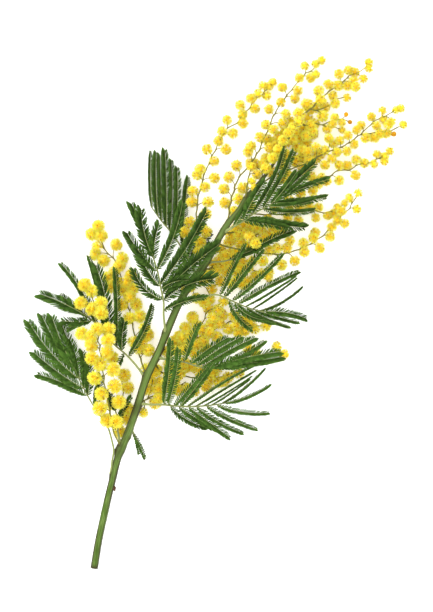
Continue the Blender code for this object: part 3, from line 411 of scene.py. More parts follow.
            (103.5, 260.5), (116, 244.5), (94.5, 254), (101, 236), (91, 234), (98, 225.5)),
    },
    "spray_left_front": {
        "axis": ((114.6, 444.5, 14.6), (113.5, 431.5, 17), (110.5, 413, 19.4), (108, 400, 21),
                 (105.5, 388, 22.4), (103.5, 374, 23.6), (101, 356, 24.6), (99, 339, 25),
                 (96, 322, 24.6), (95, 306, 23.6), (91, 292, 22.4)),
        "width": (1.3, 1.18),
        "heads": (
            (116, 421.5), (107, 420.5), (100, 408), (119, 402), (102, 393.5), (115, 386), (95, 378),
            (113.5, 369.5), (100.5, 364), (92.5, 358), (107.5, 352), (92, 345.5), (108.5, 340), (82, 333.5),
            (91, 337), (98, 329), (109, 329), (101.5, 313), (92.5, 309), (81, 303), (101, 303), (91.5, 291),
            (85, 284.5)),
    },
    "spray_left_low": {
        "axis": ((117.6, 444.6, 6.2), (119, 437, 4.8), (121, 425, 4.8), (122, 410, 4.8), (122.5, 395, 4.8),
                 (121, 380, 4.8), (116, 364, 4.8)),
        "width": (1.2, 1.15),
        "heads": (
            (119.5, 432.5, 4.2), (126, 419), (127, 409), (112, 404), (127.5, 388), (124, 375.5), (112, 358)),
    },
}

# The side on which a leaf's strips stand open like a comb, seen along the strip: 1 is left and
# -1 is right. A number after the name is a strip of that leaf with a side of its own.
COMB_SIDES = {
    "leaf_top_left": -1, "leaf_front": -1, "leaf_top_right": -1, "leaf_mid_right": 1, "leaf_low_right": 1,
    "leaf_bottom_right": 1, ("leaf_bottom_right", 0): -1, ("leaf_bottom_right", 1): -1,
    "leaf_bottom_left": -1, "leaf_far_left": -1, "leaf_small": 1, "leaf_hidden_mid": 1,
    "leaf_hidden_low": -1,
}

# How light each leaf's green is, from 0 for the darkest to about 1 for the lightest.
LEAF_TONES = {
    "leaf_top_left": 0.05, "leaf_front": 0.12, "leaf_top_right": 0.3, "leaf_mid_right": 0.45,
    "leaf_low_right": 1.05, "leaf_bottom_right": 0.9, "leaf_bottom_left": 0.8, "leaf_far_left": 0.45,
    "leaf_small": 0.45, "leaf_hidden_mid": 0.2, "leaf_hidden_low": 0.2,
}

# How much wider the leaflets reach than the plain strip that they stand for.
LEAF_SPREADS = {
    "leaf_front": 1.9, "leaf_bottom_left": 1.7, "leaf_far_left": 1.5, "leaf_top_left": 1.5,
    "leaf_bottom_right": 1.12, "leaf_mid_right": 1.28, "leaf_small": 0.9,
}
COMMON_SPREAD = 1.36

# Heads that stand so close that their fluff meshes with their neighbours', by the spray that
# carries them: plan x, plan y and height in millimetres. They're a little smaller.
CROWD = {
    "spray_crown": ((310.5, 109, 9.5), (325.5, 106.5, 6.5), (316.5, 106.5, 7.5)),
    "spray_inner_top": (
        (288.5, 133.5, 21.5), (283, 141, 22.0), (286, 156, 13.0), (276.5, 146, 9.5), (263.5, 163.5, 10.0),
        (250.5, 163, 10.0), (278.5, 150.5, 22.0), (292, 127.5, 20.0), (266, 169, 23.8), (273, 158.5, 22.8)),
    "spray_inner_crown": (
        (299, 121.5, 19.0), (310, 128.5, 10.5), (292.5, 139.5, 11.0), (316, 158.5, 9.0), (309, 164.5, 10.0),
        (303, 169, 10.0), (302.5, 150.5, 11.5), (306.5, 135.5, 11.0)),
    "spray_right_upper": ((333.5, 143.5, 8.5), (321, 154, 9.0), (317.5, 152.5, 8.0)),
    "spray_right": ((321.5, 177.5, 12.0), (314.5, 179.5, 12.5)),
    "spray_inner_mid": (
        (251.5, 225, 9.0), (264.5, 237.5, 9.0), (276.5, 233, 8.5), (238, 235, 9.5), (231, 235.5, 9.0),
        (245, 233.5, 9.5), (256, 227.5, 9.5), (249.5, 236.5, 19.5), (255.5, 243.5, 20.5),
        (272.5, 227.5, 8.0)),
    "spray_inner_low": (
        (219, 259.5, 9.5), (227, 262, 9.5), (233.5, 257.5, 9.0), (222.5, 266, 9.0), (231.5, 267, 9.0),
        (212, 272.5, 9.5), (203.5, 278.5, 9.0), (240, 268, 9.0), (248.5, 268, 8.5), (236, 281.5, 8.0),
        (242.5, 284.5, 8.0), (262.5, 272.5, 8.5), (225, 255.5, 10.0), (252.5, 261, 8.5), (213.5, 264.5, 8.0),
        (268.5, 277.5, 8.0)),
    "spray_under_stem": ((210.5, 299.5, 6.0), (190.5, 287, 8.0)),
    "spray_mid_right": (
        (208.5, 308.5, 6.5), (202, 330, 8.5), (209.5, 333, 8.5), (190.5, 335.5, 8.5), (219.5, 323.5, 8.0),
        (237, 325.5, 8.0), (238.5, 333, 7.0), (251, 322.5, 7.5), (194.5, 353.5, 8.5), (197, 325.5, 6.5),
        (182, 338.5, 9.5), (172.5, 342, 9.0), (183.5, 349.5, 9.0), (196.5, 345, 8.5)),
    "spray_low_inner": (
        (166, 383, 8.5), (171.5, 389, 8.0), (158.5, 398.5, 8.0), (168, 376, 9.0), (153, 374.5, 9.5)),
    "spray_low_right": ((184.5, 362.5, 9.0), (212.5, 373.5, 8.5), (224.5, 381.5, 8.0), (180, 374, 8.5)),
    "spray_left_back": (
        (144.5, 328.5, 8.5), (142, 341.5, 9.5), (133.5, 342, 9.5), (115.5, 281.5, 8.0), (126, 282, 8.5),
        (129.5, 297, 8.0), (114.5, 271, 8.0), (96.5, 246.5, 7.5)),
}
CROWD_SIZE = 0.94

# The bark pales between these two places along the stem, by this share.
PALING = (0.05, 0.10, 0.45)

# The first leaf's and the first spray's seed for their random draws.
LEAF_SEED = 100
SPRAY_SEED = 300

# Heads that are still closed and heads that are just opening, by spray and number; past this
# share of a stalk all are just opening. Past this share of the head width a head is fluffy.
CLOSED_HEADS = {"spray_crown_side": (7, 8), "spray_right_upper": (29,)}
OPENING_HEADS = {"spray_young": (0, 1)}
OPENING_FROM = 0.88
FLUFFY_FROM = 0.55
# Kinds of open head. Each has its first seed, how many of it differ, its tufts, the stamens in
# each and the florets that are still closed; and, as shares of its radius, its heart, how far a
# tuft spreads and a stamen's width.
HEAD_KINDS = {
    "fluffy": {"seed": 20, "count": 4, "tufts": 34, "each": 18, "closed": 3,
               "heart": 0.40, "spread": 0.30, "width": 0.066},
    "open": {"seed": 40, "count": 6, "tufts": 28, "each": 15, "closed": 9,
             "heart": 0.42, "spread": 0.28, "width": 0.074},
    "opening": {"seed": 60, "count": 3, "tufts": 26, "each": 15, "closed": 11,
                "heart": 0.56, "spread": 0.2, "width": 0.08},
}
# How far tufts stray from an even spread, where a stamen starts in the heart, and how far out the
# florets that are still closed sit and how large they are, all as shares of the head's radius.
TUFT_STRAY = 0.12
STAMEN_FOOT = 0.8
KNOB_SEAT = (0.78, 0.96)
KNOB_SIZE = (0.11, 0.15)
# Closed heads: their first seed, how many differ, and the florets of each; and, as shares of its
# radius, its ball and how far out the florets sit, how large they are and how far they stray.
CLOSED_SEED = 80
CLOSED_COUNT = 2
CLOSED_FLORETS = 30
CLOSED_BALL = 0.74
FLORET_SEAT = 0.78
FLORET_SIZE = (0.19, 0.25)
FLORET_STRAY = 0.06
# How large the heads that are still closed or just opening are, as shares of a common one.
CLOSED_SIZE = 0.66
YOUNG_SIZE = 0.86
OPENING_SIZE = 0.92
# How much one head's widths and its depth differ from the next one's.
HEAD_GIRTHS = (0.95, 1.05)
HEAD_DEPTHS = (0.92, 1.0)
# How far the stamens reach from a head's middle, as shares of its radius.
STAMEN_REACH = (0.88, 1.21)
# How much darker or lighter one stamen is than the next, as a factor on its place in the ramp.
STAMEN_TONES = (0.66, 1.02)
# Colours from a head's heart outwards: where each lies, as a share of its radius. The ochre heart is painted
# shade deep between the stamens.
FLORET_STOP = 0.28
STAMEN_STOPS = ((0.38, "heart"), (0.74, "stamen"), (1.0, "pollen"))
# Dark brown specks fade in between these two shares of the radius, from outside, so that they are fullest
# deep in a head;
# a head still closed has them all, an open head has this share of them.
SPECKLED = (0.95, 0.6)
OPEN_SPECKS = 0.3
# How far a spray's stalk kinks towards a head, and over what length.
KINK = 0.42 * MM
KINK_REACH = 1.5 * MM
# How far the normals of the fluff turn towards the outside of its head.
NORMAL_SHARE = 0.65
# Painted glow: the stamens shine a little with their own colour, though they are no lamp, standing in for
# light that fluff passes on from stamen to stamen.
PAINTED_GLOW = 0.15

# Ridges of the bark: how many go round it, how they wind in radians a metre, how sharp they are,
# and how brown.
RIDGES_ROUND = 2.5
RIDGE_WINDING = 14.0
RIDGE_SHARPNESS = 6
RIDGE_BROWN = 0.42
# How far the bark stands over the stem's own radius, and how high its waves are, as shares of it.
BARK_FULLNESS = 0.05
BARK_WAVE = 0.05
# How fast the waves and the streaks change, round the bark and along it.
WAVE_GRAIN = (1.4, 70.0)
STREAK_GRAIN = (2.6, 26.0)
# Painted shade: the stem's sides are darkened with the ridge colour where the bark faces up less than
# the first share, and fully so where it faces up less than that by the second one.
SIDE_PAINTED_SHADE = 0.95
SIDE_FROM = 0.9
SIDE_OVER = 0.3
# Brown streaks, which are full from this place along the stem.
STREAK_BROWN = 0.7
STREAKS_FULL = 0.07
# More browning in steps: where along the stem it starts, over what length, and its strength.
BARK_BROWNS = ((0.12, 0.05, 0.10), (0.235, 0.04, 0.32))
# Knots at forks: plan x, plan y, height and reach in millimetres, and how far they stand out.
KNOTS = (
    (116.2, 450.5, 8.8, 2.6, 0.5), (130.3, 438.5, 11.0, 1.8, 0.35), (141.5, 411.0, 13.0, 5.0, 0.02),
    (165.5, 333.0, 17.0, 2.0, 0.2), (138.5, 406.0, 12.0, 2.0, 0.15))
KNOT_BROWN = 0.6
# The bark round a foot: how far it stands out and how brown it is, each with its reach as a
# multiple of the foot's radius.
COLLAR = (0.30, 3.2)
COLLAR_BROWN = (0.5, 2.1)
# The cut end: which way it faces, where it lies along the stem, the width of its rim, and how
# brown the bark behind it is and over what length.
CUT_SLANT = Vector((-0.12, -0.96, -0.1))
CUT_BEHIND = 0.3 * MM
CUT_RIM = 0.35 * MM
CUT_BROWN = 1.1
CUT_FADE = 1.8 * MM
# How many sides the stem has, which its ridges need.
STEM_SIDES = 28

# A leaf's midrib: its sides and steps, how it swells from the stem on, and how it ends.
RIB_SIDES = 8
RIB_STEP = 1.5 * MM
RIB_FOOT = (1.9, 1.6, 1.25)
RIB_END = 0.4
# A side strip's rib: its sides and steps, and how high it arches, in millimetres.
STRIP_SIDES = 5
STRIP_STEP = 2.5 * MM
STRIP_ARCH = 0.6
# How far the ribs are brown round a fork, and how much.
RIB_BROWN = (0.9 * MM, 0.55)
# A leaflet's blade, one unit long: its place and half width near its foot and near its front, and
# how deep it is folded, in thicknesses.
BLADE_FOOT = (0.16, 0.46)
BLADE_FRONT = (0.80, 0.42)
BLADE_FOLD = 0.7
# How open a comb side stands, from the least to the most.
OPENNESS = (0.5, 0.9)
# How leaflets sit where they lie closed and where they stand wide open, in degrees: their lean at
# the strip's foot and at its tip, the lean that their length is worked out from, and their fold.
FOOT_LEAN = (35.0, 64.0)
TIP_LEAN = (25.0, 50.0)
LENGTH_LEAN = (29.0, 56.0)
FOLD = (14.0, 30.0)
# How a leaflet's blade turns about its length, in degrees.
BLADE_TURN = 20.0
# How far leaflets stray from all that: in degrees, as shares of their length, and in shade.
FOLD_STRAY = 12.0
LEAN_STRAY = 8.0
BLADE_STRAY = 14.0
LENGTH_LOSS = (-0.06, 0.14)
SHADE_STRAY = 0.6
STRIP_SHADE_STRAY = 0.15
# How much of that straying is left where leaflets lie closed.
CLOSED_STRAY = 0.3

# A spray's stalk: its sides and steps, how it swells from the stem on, how thin it ends, and how
# thick its branches are against it.
STALK_SIDES = 7
STALK_STEP = 1.2 * MM
STALK_FOOT = (1.7, 1.3)
STALK_END = 0.55
BRANCH_SHARE = 0.75
# How much a stalk swells where a head's own stalk leaves it, and how far; the same for its brown.
FORK_SWELL = 0.3
FORK_REACH = 1.1 * MM
STALK_BROWN = (0.8 * MM, 0.6)
# A head's own stalk: its sides, its widths from foot to head, and its bend, as shares of its length
# along the spray's stalk and towards the head.
SIDE_STALK_SIDES = 5
SIDE_STALK_SIZES = (1.5, 1.1, 0.95, 0.9, 0.85, 0.8)
SIDE_STALK_BEND = (0.32, 0.12)

# The stage: the floor's side and grey, the key light's side and place, and the width of the
# camera's sensor in millimetres.
FLOOR_SIZE = 6.0
FLOOR_GREY = 0.93
WHITE = (1.0, 1.0, 1.0, 1.0)
KEY_SIZE = 1.6
KEY_PLACE = Vector((-0.9, 0.9, 1.6))
SENSOR = 36.0

# Where a head stands: its middle, its radius, its own stalk's foot, the way that the spray's stalk
# heads there, and how far along that stalk it is, as a share.
Spot = namedtuple("Spot", "centre radius root heading along")


def colour_setting(name, description, default):
    """A colour that a user may change."""
    return bpy.props.FloatVectorProperty(
        name=name, description=description, subtype="COLOR", default=default)


def length_setting(name, description, default, least):
    """A length that a user may change, with the least that it may be."""
    return bpy.props.FloatProperty(
        name=name, description=description, unit="LENGTH", default=default, min=least)


class MimosaStemSettings(bpy.types.PropertyGroup):
    """The bark of the main stem, its cut end and its bud."""

    bark: colour_setting("Bark", "Colour of the young green bark", (0.055, 0.108, 0.010))
    bark_pale: colour_setting(
        "Pale streaks", "Colour of the paler streaks along the bark", (0.135, 0.205, 0.048))
    # The ridge colour also paints the shade along the stem's sides.
    ridge: colour_setting(
        "Brown ridges", "Colour of the ridges and of the bark at a node", (0.036, 0.034, 0.010))
    cut: colour_setting("Cut wood", "Colour of the wood on the cut end", (0.42, 0.36, 0.17))
    bud: colour_setting("Bud", "Colour of the redder patches on the bud's scales", (0.12, 0.032, 0.014))
    ridge_height: bpy.props.FloatProperty(
        name="Ridge height", description="How far the ridges stand out, as a share of the radius",
        default=0.055, min=0.0, max=0.3)
    ring_step: length_setting("Ring step", "Distance between two rings of the bark", 1.3 * MM, 0.2 * MM)


class MimosaLeafSettings(bpy.types.PropertyGroup):
    """The feathery leaves."""

    leaflet_pitch: length_setting(
        "Leaflet pitch", "Distance between two leaflets along a side strip", 1.3 * MM, 0.3 * MM)
    closed_width: length_setting(
        "Closed width", "Width of a leaflet on the side whose leaflets overlap", 1.15 * MM, 0.1 * MM)
    open_width: length_setting(
        "Open width", "Width of a leaflet on the side that stands open like a comb", 0.92 * MM, 0.1 * MM)
    leaflet_thickness: length_setting(
        "Leaflet thickness", "Thickness of one leaflet", 0.14 * MM, 0.02 * MM)
    rib_radius: length_setting(
        "Midrib radius", "Radius of a leaf's midrib at its base", 0.68 * MM, 0.1 * MM)
    strip_rib_radius: length_setting(
        "Side rib radius", "Radius of a side strip's own rib at its base", 0.27 * MM, 0.05 * MM)
    dark: colour_setting("Dark green", "Colour of the darkest leaflets", (0.004, 0.013, 0.001))
    green: colour_setting("Leaf green", "Colour of most leaflets", (0.040, 0.098, 0.012))
    # The tip colour also paints a highlight along one long edge of each leaflet.
    tip: colour_setting("Leaflet tips", "Colour of the leaflets' tips", (0.135, 0.255, 0.045))
    rib: colour_setting("Rib", "Colour of the ribs", (0.25, 0.29, 0.10))


class MimosaSpraySettings(bpy.types.PropertyGroup):
    """The flower sprays: stalks and fluffy heads."""

    head_width: length_setting("Head width", "Width of a common flower head", 6.6 * MM, 1.0 * MM)
    stalk_radius: length_setting(
        "Stalk radius", "Radius of a spray's stalk at its base", 0.52 * MM, 0.1 * MM)
    side_stalk_radius: length_setting(
        "Side stalk radius", "Radius of the stalk of one flower head", 0.29 * MM, 0.05 * MM)
    stalk: colour_setting("Stalk", "Colour of the stalks", (0.185, 0.185, 0.028))
    stalk_node: colour_setting(
        "Stalk joints", "Colour of the stalks where they fork", (0.12, 0.075, 0.022))
    # The heart colour is painted shade deep between the stamens.
    heart: colour_setting("Heart", "Colour deep between the stamens", (0.80, 0.44, 0.010))
    stamen: colour_setting("Stamens", "Colour of the stamens", (0.98, 0.90, 0.045))
    pollen: colour_setting("Pollen", "Colour of the stamens' tips", (0.98, 0.95, 0.16))
    floret: colour_setting(
        "Closed florets", "Colour of the specks of florets not yet open", (0.26, 0.085, 0.010))


class MimosaStageSettings(bpy.types.PropertyGroup):
    """The floor, the light and the camera."""

    camera_height: length_setting("Camera height", "Height of the camera over the sprig", 3.0, 0.3)
    key_power: bpy.props.FloatProperty(
        name="Key light", description="Power of the large soft light", subtype="POWER",
        default=24.0, min=0.0)
    sky: bpy.props.FloatProperty(
        name="Room light", description="Strength of the even light from all round",
        default=1.7, min=0.0)
    floor_glow: bpy.props.FloatProperty(
        name="Floor light", description="How much the pale floor shines by itself, as a light table",
        default=0.35, min=0.0)


def place(x, y, height):
    """The point over plan place x, y at a height in millimetres."""
    return Vector(((x - CENTRE_X) * GRID_STEP, (CENTRE_Y - y) * GRID_STEP, height * MM))


def route(rows):
    """The points of a route given as plan x, plan y and height."""
    return [place(*row[:3]) for row in rows]


def curve_through(before, start, end, after, share):
    """A value on the smooth curve from start to end."""
    square = share * share
    cube = square * share
    return 0.5 * (
        2.0 * start + (end - before) * share + (2.0 * before - 5.0 * start + 4.0 * end - after) * square
        + (3.0 * (start - end) + after - before) * cube)


def smooth_line(points, radii, step):
    """Points about a step apart on a smooth curve through the given ones, with their radii."""
    line = []
    sizes = []
    last = len(points) - 1
    for index in range(last):
        near = (max(index - 1, 0), index, index + 1, min(index + 2, last))
        count = max(1, round((points[index + 1] - points[index]).length / step))
        for number in range(count):
            share = number / count
            line.append(curve_through(*(points[k] for k in near), share))
            sizes.append(radii[index] + (radii[index + 1] - radii[index]) * share)
    line.append(points[-1])
    sizes.append(radii[-1])
    return line, sizes


def taper(count, first, last):
    """Values that go evenly from the first to the last."""
    return [first + (last - first) * index / (count - 1) for index in range(count)]


def between(ends, share):
    """The value at a share of the way from the first of two ends to the second."""
    first, last = ends
    return first + (last - first) * share


def clamped(value):
    """The value kept within 0 and 1."""
    return min(max(value, 0.0), 1.0)


def nearness(distance, reach):
    """A smooth number that is 1 at no distance and falls to nothing past the reach."""
    return math.exp(-(distance / reach) ** 2)


def nearest_on(points, target):
    """The place on a route nearest to a target: distance, segment number, share and the place."""
    best = None
    for index in range(len(points) - 1):
        start = points[index]
        step = points[index + 1] - start
        share = clamped((target - start).dot(step) / max(step.length_squared, 1e-12))
        found = start + step * share
        distance = (found - target).length
        if best is None or distance < best[0]:
            best = (distance, index, share, found)
    return best


def nearest_in_plan(points, target):
    """The place on a route nearest to a target in plan: distance, segment number and share."""
    return nearest_on([point.to_2d() for point in points], target.to_2d())[:3]


def turns_along(points):
    """A turn for each point of a line, whose Z follows the line and which doesn't twist."""
    turns = []
    heading = None
    for index in range(len(points)):
        ahead = points[min(index + 1, len(points) - 1)] - points[max(index - 1, 0)]
        if heading is None:
            turns.append(ahead.to_track_quat("Z", "Y"))
        else:
            turns.append(heading.rotation_difference(ahead) @ turns[-1])
        heading = ahead
    return turns


def edges_at(ring):
    """The edges that touch a ring of points, each once and in the ring's order."""
    return list(dict.fromkeys(edge for vert in ring for edge in vert.link_edges))


def close_loop(shape, ring):
    """Closes the open end that a ring of points goes round."""
    edges = [edge for edge in edges_at(ring) if edge.is_boundary]
    return bmesh.ops.edgeloop_fill(shape, edges=edges)["faces"]


def grow_rod(shape, points, radii, sides, open_start=False):
    """Grows a rod along points, and writes where its bark lies: round it and along it."""
    grain = shape.verts.layers.float_vector["grain"]
    turns = turns_along(points)
    stations = [Matrix.LocRotScale(point, turn, Vector((radius, radius, radius)))
                for point, turn, radius in zip(points, turns, radii)]
    ring = bmesh.ops.create_circle(shape, segments=sides, radius=1.0)["verts"]
    bmesh.ops.transform(shape, matrix=stations[0], verts=ring)
    rings = [ring]
    for before, after in zip(stations, stations[1:]):
        held = set(ring)
        edges = [edge for edge in edges_at(ring) if edge.verts[0] in held and edge.verts[1] in held]
        grown = bmesh.ops.extrude_edge_only(shape, edges=edges)["geom"]
        ring = [item for item in grown if isinstance(item, bmesh.types.BMVert)]
        bmesh.ops.transform(shape, matrix=after @ before.inverted(), verts=ring)
        rings.append(ring)
    along = 0.0
    for index, (ring, turn) in enumerate(zip(rings, turns)):
        if index:
            along += (points[index] - points[index - 1]).length
        back = turn.inverted()
        for vert in ring:
            side = (back @ (vert.co - points[index])).normalized()
            vert[grain] = Vector((side.x, side.y, along))
    if not open_start:
        close_loop(shape, rings[0])
    close_loop(shape, rings[-1])
    return rings


def new_shape(*layers):
    """An empty bmesh whose points carry the named numbers and their place on the bark."""
    shape = bmesh.new()
    shape.verts.layers.float_vector.new("grain")
    for layer in layers:
        shape.verts.layers.float.new(layer)
    return shape


def finish_piece(shape, name, materials, smooth=True, nodes=()):
    """Turns a bmesh into a piece that rides on the sprig and stands for its nodes."""
    mesh = bpy.data.meshes.new(name)
    bmesh.ops.recalc_face_normals(shape, faces=shape.faces)
    shape.to_mesh(mesh)
    shape.free()
    for material in materials:
        mesh.materials.append(material)
    if smooth:
        mesh.shade_smooth()
    piece = bpy.data.objects.new(name, mesh)
    bpy.context.scene.collection.objects.link(piece)
    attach(piece, "root")
    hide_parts(*nodes)
    return piece


def add_copy(shape, template, matrix, values=()):
    """Adds a moved copy of a template mesh to a bmesh, and sets numbers on its points."""
    count = len(shape.verts)
    shape.from_mesh(template)
    shape.verts.ensure_lookup_table()
    fresh = shape.verts[count:]
    bmesh.ops.transform(shape, matrix=matrix, verts=fresh)
    for layer, value in values:
        for vert in fresh:
            vert[layer] = value
    return fresh


def as_template(shape, name):
    """Keeps a bmesh as a mesh to copy from."""
    mesh = bpy.data.meshes.new(name)
    shape.to_mesh(mesh)
    shape.free()
    return mesh


def packed_again(shape):
    """The same bmesh made anew, so that what is added next comes last in its lists."""
    mesh = as_template(shape, "packed again")
    fresh = bmesh.new()
    fresh.from_mesh(mesh)
    bpy.data.meshes.remove(mesh)
    return fresh


def node_group(name, inputs, outputs):
    """A new shader node group with its sockets, and its two end nodes."""
    group = bpy.data.node_groups.new(name, "ShaderNodeTree")
    for label, kind, value in inputs:
        socket = group.interface.new_socket(label, in_out="INPUT", socket_type=kind)
        if value is not None:
            socket.default_value = value
    for label, kind in outputs:
        group.interface.new_socket(label, in_out="OUTPUT", socket_type=kind)
    return group, group.nodes.new("NodeGroupInput"), group.nodes.new("NodeGroupOutput")


def set_socket(tree, socket, value):
    """Feeds an input from another socket, or sets it to a number or a colour."""
    if isinstance(value, bpy.types.NodeSocket):
        tree.links.new(value, socket)
    elif isinstance(value, (int, float)):
        socket.default_value = value
    else:
        socket.default_value = (*value, 1.0)


def math_node(tree, operation, first, second, clamp=False):
    """A math node fed by sockets or numbers."""
    node = tree.nodes.new("ShaderNodeMath")
    node.operation = operation
    node.use_clamp = clamp
    for socket, value in zip(node.inputs, (first, second)):
        set_socket(tree, socket, value)
    return node.outputs[0]


def mix_colours(tree, share, first, second):
    """Mixes two colours by a share; each may be a socket or a colour."""
    node = tree.nodes.new("ShaderNodeMix")
    node.data_type = "RGBA"
    for socket, value in ((node.inputs[0], share), (node.inputs[6], first), (node.inputs[7], second)):
        set_socket(tree, socket, value)
    return node.outputs[2]


def feed(group, start, node, *labels):
    """Links inputs of a group to the inputs of a node that have the same names."""
    for label in labels:
        group.links.new(start.outputs[label], node.inputs[label])


def grit_node(group, start, detail):
    """Noise at the place and the scale that a group is given."""
    grit = group.nodes.new("ShaderNodeTexNoise")
    grit.inputs["Detail"].default_value = detail
    feed(group, start, grit, "Vector", "Scale")
    return grit


def patch_group():
    """Node group: soft patches of a second colour over a first, by noise at a given scale."""
    group, start, end = node_group(
        "soft patches",
        (("Vector", "NodeSocketVector", None), ("Colour", "NodeSocketColor", (0.5, 0.5, 0.5, 1.0)),
         ("Patch Colour", "NodeSocketColor", (0.2, 0.2, 0.2, 1.0)), ("Scale", "NodeSocketFloat", 100.0),
         ("Threshold", "NodeSocketFloat", 0.5), ("Softness", "NodeSocketFloat", 0.15),
         ("Amount", "NodeSocketFloat", 1.0)),
        (("Colour", "NodeSocketColor"),))
    grit = grit_node(group, start, 4.0)
    low = math_node(group, "SUBTRACT", start.outputs["Threshold"], start.outputs["Softness"])
    high = math_node(group, "ADD", start.outputs["Threshold"], start.outputs["Softness"])
    ramp = group.nodes.new("ShaderNodeMapRange")
    ramp.interpolation_type = "SMOOTHSTEP"
    group.links.new(grit.outputs["Fac"], ramp.inputs["Value"])
    group.links.new(low, ramp.inputs["From Min"])
    group.links.new(high, ramp.inputs["From Max"])
    mask = math_node(group, "MULTIPLY", ramp.outputs["Result"], start.outputs["Amount"], clamp=True)
    colour = mix_colours(group, mask, start.outputs["Colour"], start.outputs["Patch Colour"])
    group.links.new(colour, end.inputs["Colour"])
    return group


def relief_group():
    """Node group: a fine bumpy normal from noise at a given scale."""
    group, start, end = node_group(
        "fine relief",
        (("Vector", "NodeSocketVector", None), ("Scale", "NodeSocketFloat", 500.0),
         ("Strength", "NodeSocketFloat", 0.3), ("Distance", "NodeSocketFloat", 0.0001)),
        (("Normal", "NodeSocketVector"),))
    grit = grit_node(group, start, 3.0)
    bump = group.nodes.new("ShaderNodeBump")
    group.links.new(grit.outputs["Fac"], bump.inputs["Height"])
    feed(group, start, bump, "Strength", "Distance")
    group.links.new(bump.outputs["Normal"], end.inputs["Normal"])
    return group


def place_group(tree, name, make, **values):
    """Places a node group, made at its first use, in a material and sets or links its inputs."""
    node = tree.nodes.new("ShaderNodeGroup")
    node.node_tree = bpy.data.node_groups.get(name) or make()
    for label, value in values.items():
        set_socket(tree, node.inputs[label.replace("_", " ")], value)
    return node


def plain_material(name, roughness, specular):
    """A material with its shader, and its node tree."""
    material = bpy.data.materials.new(name)
    material.use_nodes = True
    shader = material.node_tree.nodes["Principled BSDF"]
    shader.inputs["Roughness"].default_value = roughness
    shader.inputs["Specular IOR Level"].default_value = specular
    return material, material.node_tree, shader


def object_place(tree):
    """The socket that gives a point's own place on the sprig."""
    return tree.nodes.new("ShaderNodeTexCoord").outputs["Object"]


def point_number(tree, name, output="Fac"):
    """The socket that gives a number or a vector kept on the points."""
    node = tree.nodes.new("ShaderNodeAttribute")
    node.attribute_name = name
    return node.outputs[output]


def stretched(tree, vector, scale):
    """The vector scaled on each axis."""
    node = tree.nodes.new("ShaderNodeMapping")
    node.inputs["Scale"].default_value = scale
    tree.links.new(vector, node.inputs["Vector"])
    return node.outputs["Vector"]


def patches(tree, vector, colour, patch_colour, scale, threshold, softness, amount=1.0):
    """Places soft patches of a second colour over a first, and gives the socket of their mix."""
    node = place_group(
        tree, "soft patches", patch_group, Vector=vector, Colour=colour, Patch_Colour=patch_colour,
        Scale=scale, Threshold=threshold, Softness=softness, Amount=amount)
    return node.outputs["Colour"]


def add_relief(tree, shader, vector, scale, strength, distance=0.1 * MM):
    """Gives a material a fine relief."""
    node = place_group(
        tree, "fine relief", relief_group, Vector=vector, Scale=scale, Strength=strength,
        Distance=distance)
    tree.links.new(node.outputs["Normal"], shader.inputs["Normal"])


def darker(colour, share):
    """A colour brought down to a share of its light."""
    return [share * part for part in colour]


def bark_material(settings):
    """Green bark with pale streaks along it, brown ridges, brown nodes and painted shade along its sides."""
    material, tree, shader = plain_material("green bark", roughness=0.5, specular=0.12)
    bark_place = point_number(tree, "grain", "Vector")
    streaks = patches(
        tree, stretched(tree, bark_place, (2.2, 2.2, 45.0)), settings.bark, settings.bark_pale,
        scale=2.4, threshold=0.52, softness=0.07)
    drift = patches(
        tree, object_place(tree), streaks, darker(settings.bark, 0.6),
        scale=60.0, threshold=0.56, softness=0.12, amount=0.6)
    along = tree.nodes.new("ShaderNodeSeparateXYZ")
    tree.links.new(bark_place, along.inputs["Vector"])
    paling = tree.nodes.new("ShaderNodeMapRange")
    tree.links.new(along.outputs["Z"], paling.inputs["Value"])
    for label, value in zip(("From Min", "From Max", "To Max"), PALING):
        paling.inputs[label].default_value = value
    pale = mix_colours(tree, paling.outputs["Result"], drift, settings.bark_pale)
    # The browning mixes in the ridge colour: real browning at ridges, streaks, knots, collars and the cut,
    # and painted shade on the stem's sides.
    ridged = mix_colours(tree, point_number(tree, "browning"), pale, settings.ridge)
    specks = patches(
        tree, stretched(tree, bark_place, (5.0, 5.0, 900.0)), ridged, settings.ridge,
        scale=2.0, threshold=0.7, softness=0.03, amount=0.75)
    tree.links.new(specks, shader.inputs["Base Color"])
    grain = stretched(tree, bark_place, (6.0, 6.0, 260.0))
    add_relief(tree, shader, grain, scale=1.6, strength=0.35, distance=0.2 * MM)
    return material


def cut_material(settings):
    """Pale moist wood on the cut end, with darker patches in it."""
    material, tree, shader = plain_material("cut wood", roughness=0.55, specular=0.4)
    grain = patches(
        tree, object_place(tree), settings.cut, darker(settings.cut, 0.45),
        scale=1400.0, threshold=0.5, softness=0.2)
    tree.links.new(grain, shader.inputs["Base Color"])
    add_relief(tree, shader, object_place(tree), scale=2500.0, strength=0.5)
    return material


def bud_material(settings):
    """Dry brown scales with redder patches."""
    material, tree, shader = plain_material("dry bud", roughness=0.7, specular=0.4)
    colour = patches(
        tree, object_place(tree), settings.ridge, settings.bud,
        scale=1300.0, threshold=0.5, softness=0.15)
    tree.links.new(colour, shader.inputs["Base Color"])
    add_relief(tree, shader, object_place(tree), scale=2000.0, strength=0.6)
    return material


def leaflet_material(settings):
    """Dark feathery green: each leaflet has its own tone at random, a paler tip, and a painted highlight
    along one long edge.
    """
    material, tree, shader = plain_material("leaflets", roughness=0.7, specular=0.05)
    own = mix_colours(tree, point_number(tree, "shade"), settings.dark, settings.green)
    tipped = mix_colours(tree, point_number(tree, "tip"), own, settings.tip)
    drift = patches(
        tree, object_place(tree), tipped, settings.dark,
        scale=620.0, threshold=0.53, softness=0.12, amount=0.55)
    tree.links.new(drift, shader.inputs["Base Color"])
    add_relief(tree, shader, object_place(tree), scale=1800.0, strength=0.2)
    return material


